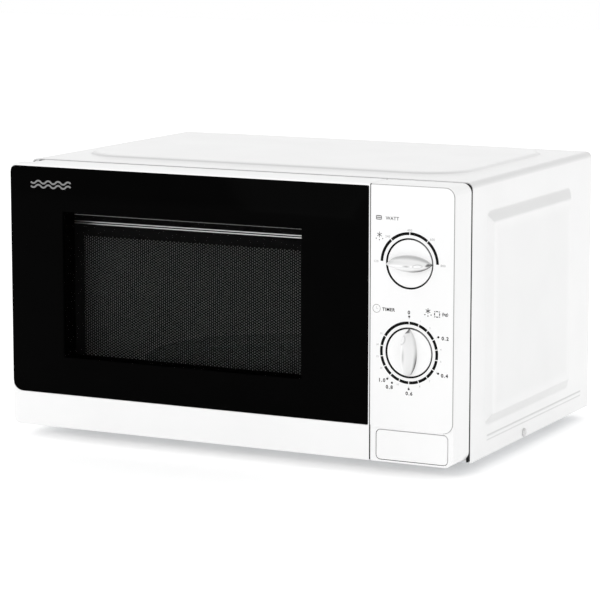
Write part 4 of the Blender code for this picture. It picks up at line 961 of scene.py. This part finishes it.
def dial(name, at, body, turn, node, tones):
    frontFace = glassAt.y0
    face = frontFace - dialSet["gap"]
    middle = (at.x, at.z)
    disc = rod("y", middle, (face, face + dialSet["thick"]), dialSet["radius"], 128)
    bevel(disc, [edge for edge in disc.edges if all(abs(v.co.y - face) < 1e-7 for v in edge.verts)],
          dialSet["edge"], 4)
    proud = face - at.y0
    long, wide = dialSet["grid"]
    blade = bmesh.new()
    flank = blade.verts.layers.float.new("flank")
    bmesh.ops.create_grid(blade, x_segments=long, y_segments=wide, size=1)
    reach = (dialSet["radius"] - dialSet["edge"]) * dialSet["reach"]
    place = Matrix.Translation((at.x, face, at.z)) @ Matrix.Rotation(-turn, 4, "Y")
    for v in blade.verts:
        t = math.sin(v.co.x * math.pi / 2)
        w = math.sin(v.co.y * math.pi / 2)
        half = dialSet["bladeHalf"] * (1 - t * t) ** 0.62
        crest = proud * (1 - abs(t) ** 3.4) ** 0.55
        centre, length, width, depth = dialSet["notch"]
        hollow = math.hypot((t - centre) / length, w / width)
        crest -= depth * (1 - smooth(hollow))
        flat = dialSet["crest"]
        across = min(abs(w) / dialSet["foot"], 1)
        side = 1 - max(0, (across - flat) / (1 - flat)) ** 1.15
        beyond = smooth((abs(w) - dialSet["foot"]) / (1 - dialSet["foot"]))
        height = crest * side + 0.15 * mm - 0.45 * mm * beyond * beyond
        wide = math.copysign(half * across + dialSet["flare"] * beyond * (1 - t * t), w)
        v.co = place @ Vector((reach * t, -height, wide))
        # painted shade and painted reflections on the flanks, painted shade at the nose and round the notch
        if w < 0:
            tone = bump(-w, *tones["lee"]) * (0.3 + 0.7 * smooth((t * tones["darkEnd"] + 0.3) / 0.9))
        else:
            tone = tones["litTone"] * bump(w, *tones["lit"])
        along, length, aside, narrow = tones["streak"]
        tone += tones["streakTone"] * bump(t, along, length) * bump(w, aside, narrow)
        nose = smooth((t - dialSet["nose"]) / 0.06) * (1 - smooth((abs(w) - 0.5) / 0.3))
        v[flank] = min(max(tone, 0.85 * nose) + 0.3 * bump(hollow, 1.0, 0.3), 1)
    bmesh.ops.holes_fill(blade, edges=[edge for edge in blade.edges if edge.is_boundary])
    bmesh.ops.remove_doubles(blade, verts=blade.verts, dist=1e-6)
    bmesh.ops.recalc_face_normals(blade, faces=blade.faces)
    knob = merge(disc, blade)
    piece(name, knob, body, "white_plastic", knobPlastic, sharp=50, replaces=[node])
    # painted shade: a small dark triangle at the blade's tip
    tip = bmesh.new()
    bmesh.ops.create_circle(tip, cap_ends=True, segments=3, radius=2.0 * mm,
                            matrix=place @ Matrix.Translation((reach - 0.2 * mm, -0.06 * mm, 0)) @ upright
                            @ Matrix.Rotation(math.radians(-90), 4, "Z"))
    bmesh.ops.solidify(tip, geom=tip.faces, thickness=0.05 * mm)
    piece(name + "Pointer", tip, body, "dark_plastic", greyInk)


# painted shade and painted reflections on the blade's flanks: middle and width across the blade, and the end
# that is darker
powerTones = {"darkEnd": 1, "lee": (0.84, 0.34), "litTone": 0.5, "lit": (0.78, 0.28),
              "streakTone": 0.6, "streak": (0.2, 0.26, 0.0, 0.16)}
timerTones = {"darkEnd": -1, "lee": (0.9, 0.2), "litTone": 0.35, "lit": (0.2, 0.14),
              "streakTone": 0.4, "streak": (-0.05, 0.5, -0.14, 0.13)}
dial("powerDial", powerAt, "power_dial", 0.0, "power_knob", powerTones)
dial("timerDial", timerAt, "timer_dial", math.radians(90), "timer_knob", timerTones)

print("printing")
printSet = {
    "lift": 0.06 * mm, "ring": (24.6 * mm, 27.1 * mm), "powerArc": (2, 178), "powerGaps": (50.6, 90, 130.8),
    "gap": 0.8, "timerSteps": 16, "timerTurn": 20,  # degrees
    "powerWords": (("120", -31.1, 0.5, 2.1), ("240", -20.5, 22.3, 2.1), ("400", -0.1, 28.7, 2.1),
                   ("600", 20.9, 22.0, 2.1), ("800", 30.9, 0.2, 2.1)),
    "weights": (("0", -0.3, 34.9, 3.3), ("0.2", 33.4, 14.9, 3.3), ("0.4", 33.1, -17.2, 3.3),
                ("0.6", 0.3, -35.2, 3.3), ("0.8", -18.2, -31.1, 3.3), ("1.0", -24.9, -25.5, 3.3)),
    "minutes": ("0", "1", "2", "3", "4", "5", "6", "7", "8", "9", "10", "15", "20", "25", "30", "35"),
    "minuteRadius": 30 * mm, "dots": (90, 30, -30, -90, -120, -130), "dotRadius": 31.4 * mm,
}
padFace = glassAt.y0 - panelSet["padRise"]


# flat shapes are drawn in x and z, then given the thickness of the ink
def inked(bm, face):
    bmesh.ops.recalc_face_normals(bm, faces=bm.faces)
    bmesh.ops.translate(bm, verts=bm.verts, vec=(0, face - printSet["lift"] / 2, 0))
    bmesh.ops.solidify(bm, geom=bm.faces, thickness=printSet["lift"] / 3)
    return bm


def sector(bm, middle, inner, outer, first, last):
    centre = Vector((middle[0], 0, middle[1]))
    angle = math.radians(first)
    along = Vector((math.cos(angle), 0, math.sin(angle)))
    ends = [bm.verts.new(centre + along * radius) for radius in (inner, outer)]
    edge = bm.edges.new(ends)
    count = max(2, round(abs(last - first) / 3))
    bmesh.ops.spin(bm, geom=ends + [edge], cent=centre, axis=(0, -1, 0), angle=math.radians(last - first),
                   steps=count, use_merge=False)


# a point from its angle and distance round a middle
def polar(middle, angle, radius):
    angle = math.radians(angle)
    return middle[0] + math.cos(angle) * radius, middle[1] + math.sin(angle) * radius


def stroke(bm, first, last, width):
    first, last = Vector((first[0], 0, first[1])), Vector((last[0], 0, last[1]))
    run = last - first
    turn = Matrix.Rotation(-math.atan2(run.z, run.x), 4, "Y") @ upright
    size = Matrix.Diagonal((run.length / 2, width / 2, 1, 1))
    bmesh.ops.create_grid(bm, x_segments=1, y_segments=1, size=1,
                          matrix=Matrix.Translation((first + last) / 2) @ turn @ size)


def dot(bm, middle, radius, segments=16):
    place = Matrix.Translation((middle[0], 0, middle[1])) @ upright
    bmesh.ops.create_circle(bm, cap_ends=True, segments=segments, radius=radius, matrix=place)


def word(bm, text, middle, height, bold=0.02, spacing=1.12):
    curve = bpy.data.curves.new("word", "FONT")
    curve.body = text
    curve.offset = bold
    curve.space_character = spacing
    curve.resolution_u = 4
    made = bpy.data.objects.new("word", curve)
    bpy.context.scene.collection.objects.link(made)
    mesh = bpy.data.meshes.new_from_object(made.evaluated_get(bpy.context.evaluated_depsgraph_get()))
    low = [min(v.co[axis] for v in mesh.vertices) for axis in (0, 1)]
    high = [max(v.co[axis] for v in mesh.vertices) for axis in (0, 1)]
    scale = height / (high[1] - low[1])
    centred = Matrix.Translation((-(low[0] + high[0]) / 2, -(low[1] + high[1]) / 2, 0))
    place = Matrix.Translation((middle[0], 0, middle[1])) @ upright
    mesh.transform(place @ Matrix.Scale(scale, 4) @ centred)
    bm.from_mesh(mesh)
    bpy.data.objects.remove(made)
    bpy.data.meshes.remove(mesh)


def frost(bm, middle, size, width):
    for turn in (90, 30, 150):
        arm = Vector((math.cos(math.radians(turn)), math.sin(math.radians(turn)))) * size / 2
        stroke(bm, (middle[0] - arm.x, middle[1] - arm.y), (middle[0] + arm.x, middle[1] + arm.y), width)
    for side in (-1, 0, 1):
        dot(bm, (middle[0] + side * size * 0.6, middle[1] - size * (0.66 if side else 0.88)), width * 0.9)


def panelPrinting():
    inner, outer = printSet["ring"]
    gap = printSet["gap"]
    black, grey, pale = bmesh.new(), bmesh.new(), bmesh.new()
    power = (powerAt.x, powerAt.z)
    timer = (timerAt.x, timerAt.z)
    ends = [printSet["powerArc"][0] - gap, *printSet["powerGaps"], printSet["powerArc"][1] + gap]
    for first, last in zip(ends, ends[1:]):
        sector(black, power, inner, outer, first + gap, last - gap)
    turn = printSet["timerTurn"]
    for step in range(printSet["timerSteps"]):
        first = 90 - step * turn
        wide = turn if step < printSet["timerSteps"] - 1 else 360 - turn * step
        sector(black, timer, inner, outer, first - gap, first - wide + gap)
        word(pale, printSet["minutes"][step], polar(timer, first, printSet["minuteRadius"]), 1.6 * mm)
    for angle in printSet["dots"]:
        dot(black, polar(timer, angle, printSet["dotRadius"]), 0.95 * mm)
    for text, x, z, height in printSet["weights"]:
        word(black, text, (timer[0] + x * mm, timer[1] + z * mm), height * mm, 0.035, 1.3)
    for text, x, z, height in printSet["powerWords"]:
        word(pale, text, (power[0] + x * mm, power[1] + z * mm), height * mm)
    word(grey, "WATT", (power[0] - 16.3 * mm, power[1] + 37.9 * mm), 2.9 * mm)
    word(black, "TIMER", (timer[0] - 19.2 * mm, timer[1] + 36.1 * mm), 2.9 * mm, 0.03)
    word(black, "(kg)", (timer[0] + 33.2 * mm, timer[1] + 35.4 * mm), 3.3 * mm, 0.03)
    # oven symbol: three bars between two uprights
    symbol = (power[0] - 28.8 * mm, power[1] + 38.1 * mm)
    for row in (-1, 0, 1):
        z = symbol[1] + row * 1.5 * mm
        stroke(grey, (symbol[0] - 2.1 * mm, z), (symbol[0] + 2.1 * mm, z), 0.8 * mm)
    for side in (-1, 1):
        x = symbol[0] + side * 2.4 * mm
        stroke(grey, (x, symbol[1] - 1.6 * mm), (x, symbol[1] + 1.6 * mm), 0.6 * mm)
    frost(grey, (power[0] - 28.2 * mm, power[1] + 23.4 * mm), 5.0 * mm, 0.55 * mm)
    # clock symbol
    clock = (timer[0] - 30.6 * mm, timer[1] + 36.3 * mm)
    sector(grey, clock, 3.3 * mm, 3.65 * mm, 0, 360)
    stroke(pale, clock, (clock[0], clock[1] + 2.2 * mm), 0.35 * mm)
    stroke(pale, clock, (clock[0] + 1.5 * mm, clock[1]), 0.35 * mm)
    frost(black, (timer[0] + 17.4 * mm, timer[1] + 37.4 * mm), 4.8 * mm, 0.6 * mm)
    # thawing symbol: a broken ring with drops flying off it
    thaw = (timer[0] + 25.8 * mm, timer[1] + 35.2 * mm)
    for start in (65, 155, 245, 335):
        sector(black, thaw, 2.0 * mm, 2.8 * mm, start, start + 50)
        stroke(black, polar(thaw, start - 20, 2.4 * mm), polar(thaw, start - 20, 3.7 * mm), 0.6 * mm)
    piece("panelMarks", inked(black, padFace), "root", "dark_plastic", blackInk)
    piece("panelLegends", inked(grey, padFace), "root", "grey_plastic", greyInk)
    piece("panelScales", inked(pale, padFace), "root", "grey_plastic", paleInk)


panelPrinting()

print("door emblem")
emblemSet = {
    "middle": (42.7 * mm, 15.8 * mm), "waves": 4, "radius": 3.4 * mm, "width": 1.5 * mm,
    "rows": 2, "row": 3.7 * mm, "half": 50,  # half of an arc, in degrees
}


def doorEmblem():
    bm = bmesh.new()
    radius, width, half = emblemSet["radius"], emblemSet["width"], emblemSet["half"]
    step = 2 * radius * math.sin(math.radians(half))
    rise = radius * math.cos(math.radians(half))
    left = glassAt.x0 + emblemSet["middle"][0]
    middle = glassAt.z1 - emblemSet["middle"][1]
    for row in range(emblemSet["rows"]):
        for wave in range(emblemSet["waves"] * 2):
            x = left + (wave - emblemSet["waves"] + 0.5) * step
            up = 1 if wave % 2 else -1
            z = middle + (0.5 - row) * emblemSet["row"] - up * rise
            turn = 90 * up % 360
            sector(bm, (x, z), radius - width / 2, radius + width / 2, turn - half, turn + half)
    piece("doorEmblem", inked(bm, glassAt.y0), "door", "grey_plastic", markInk)


doorEmblem()

print("floor")
floorMesh = bmesh.new()
half = studio["floor"] / 2
bmesh.ops.create_grid(floorMesh, x_segments=1, y_segments=1, size=half)
floor = asObject("floor", floorMesh)
floor.data.materials.append(floorFinish())

bpy.context.view_layer.update()
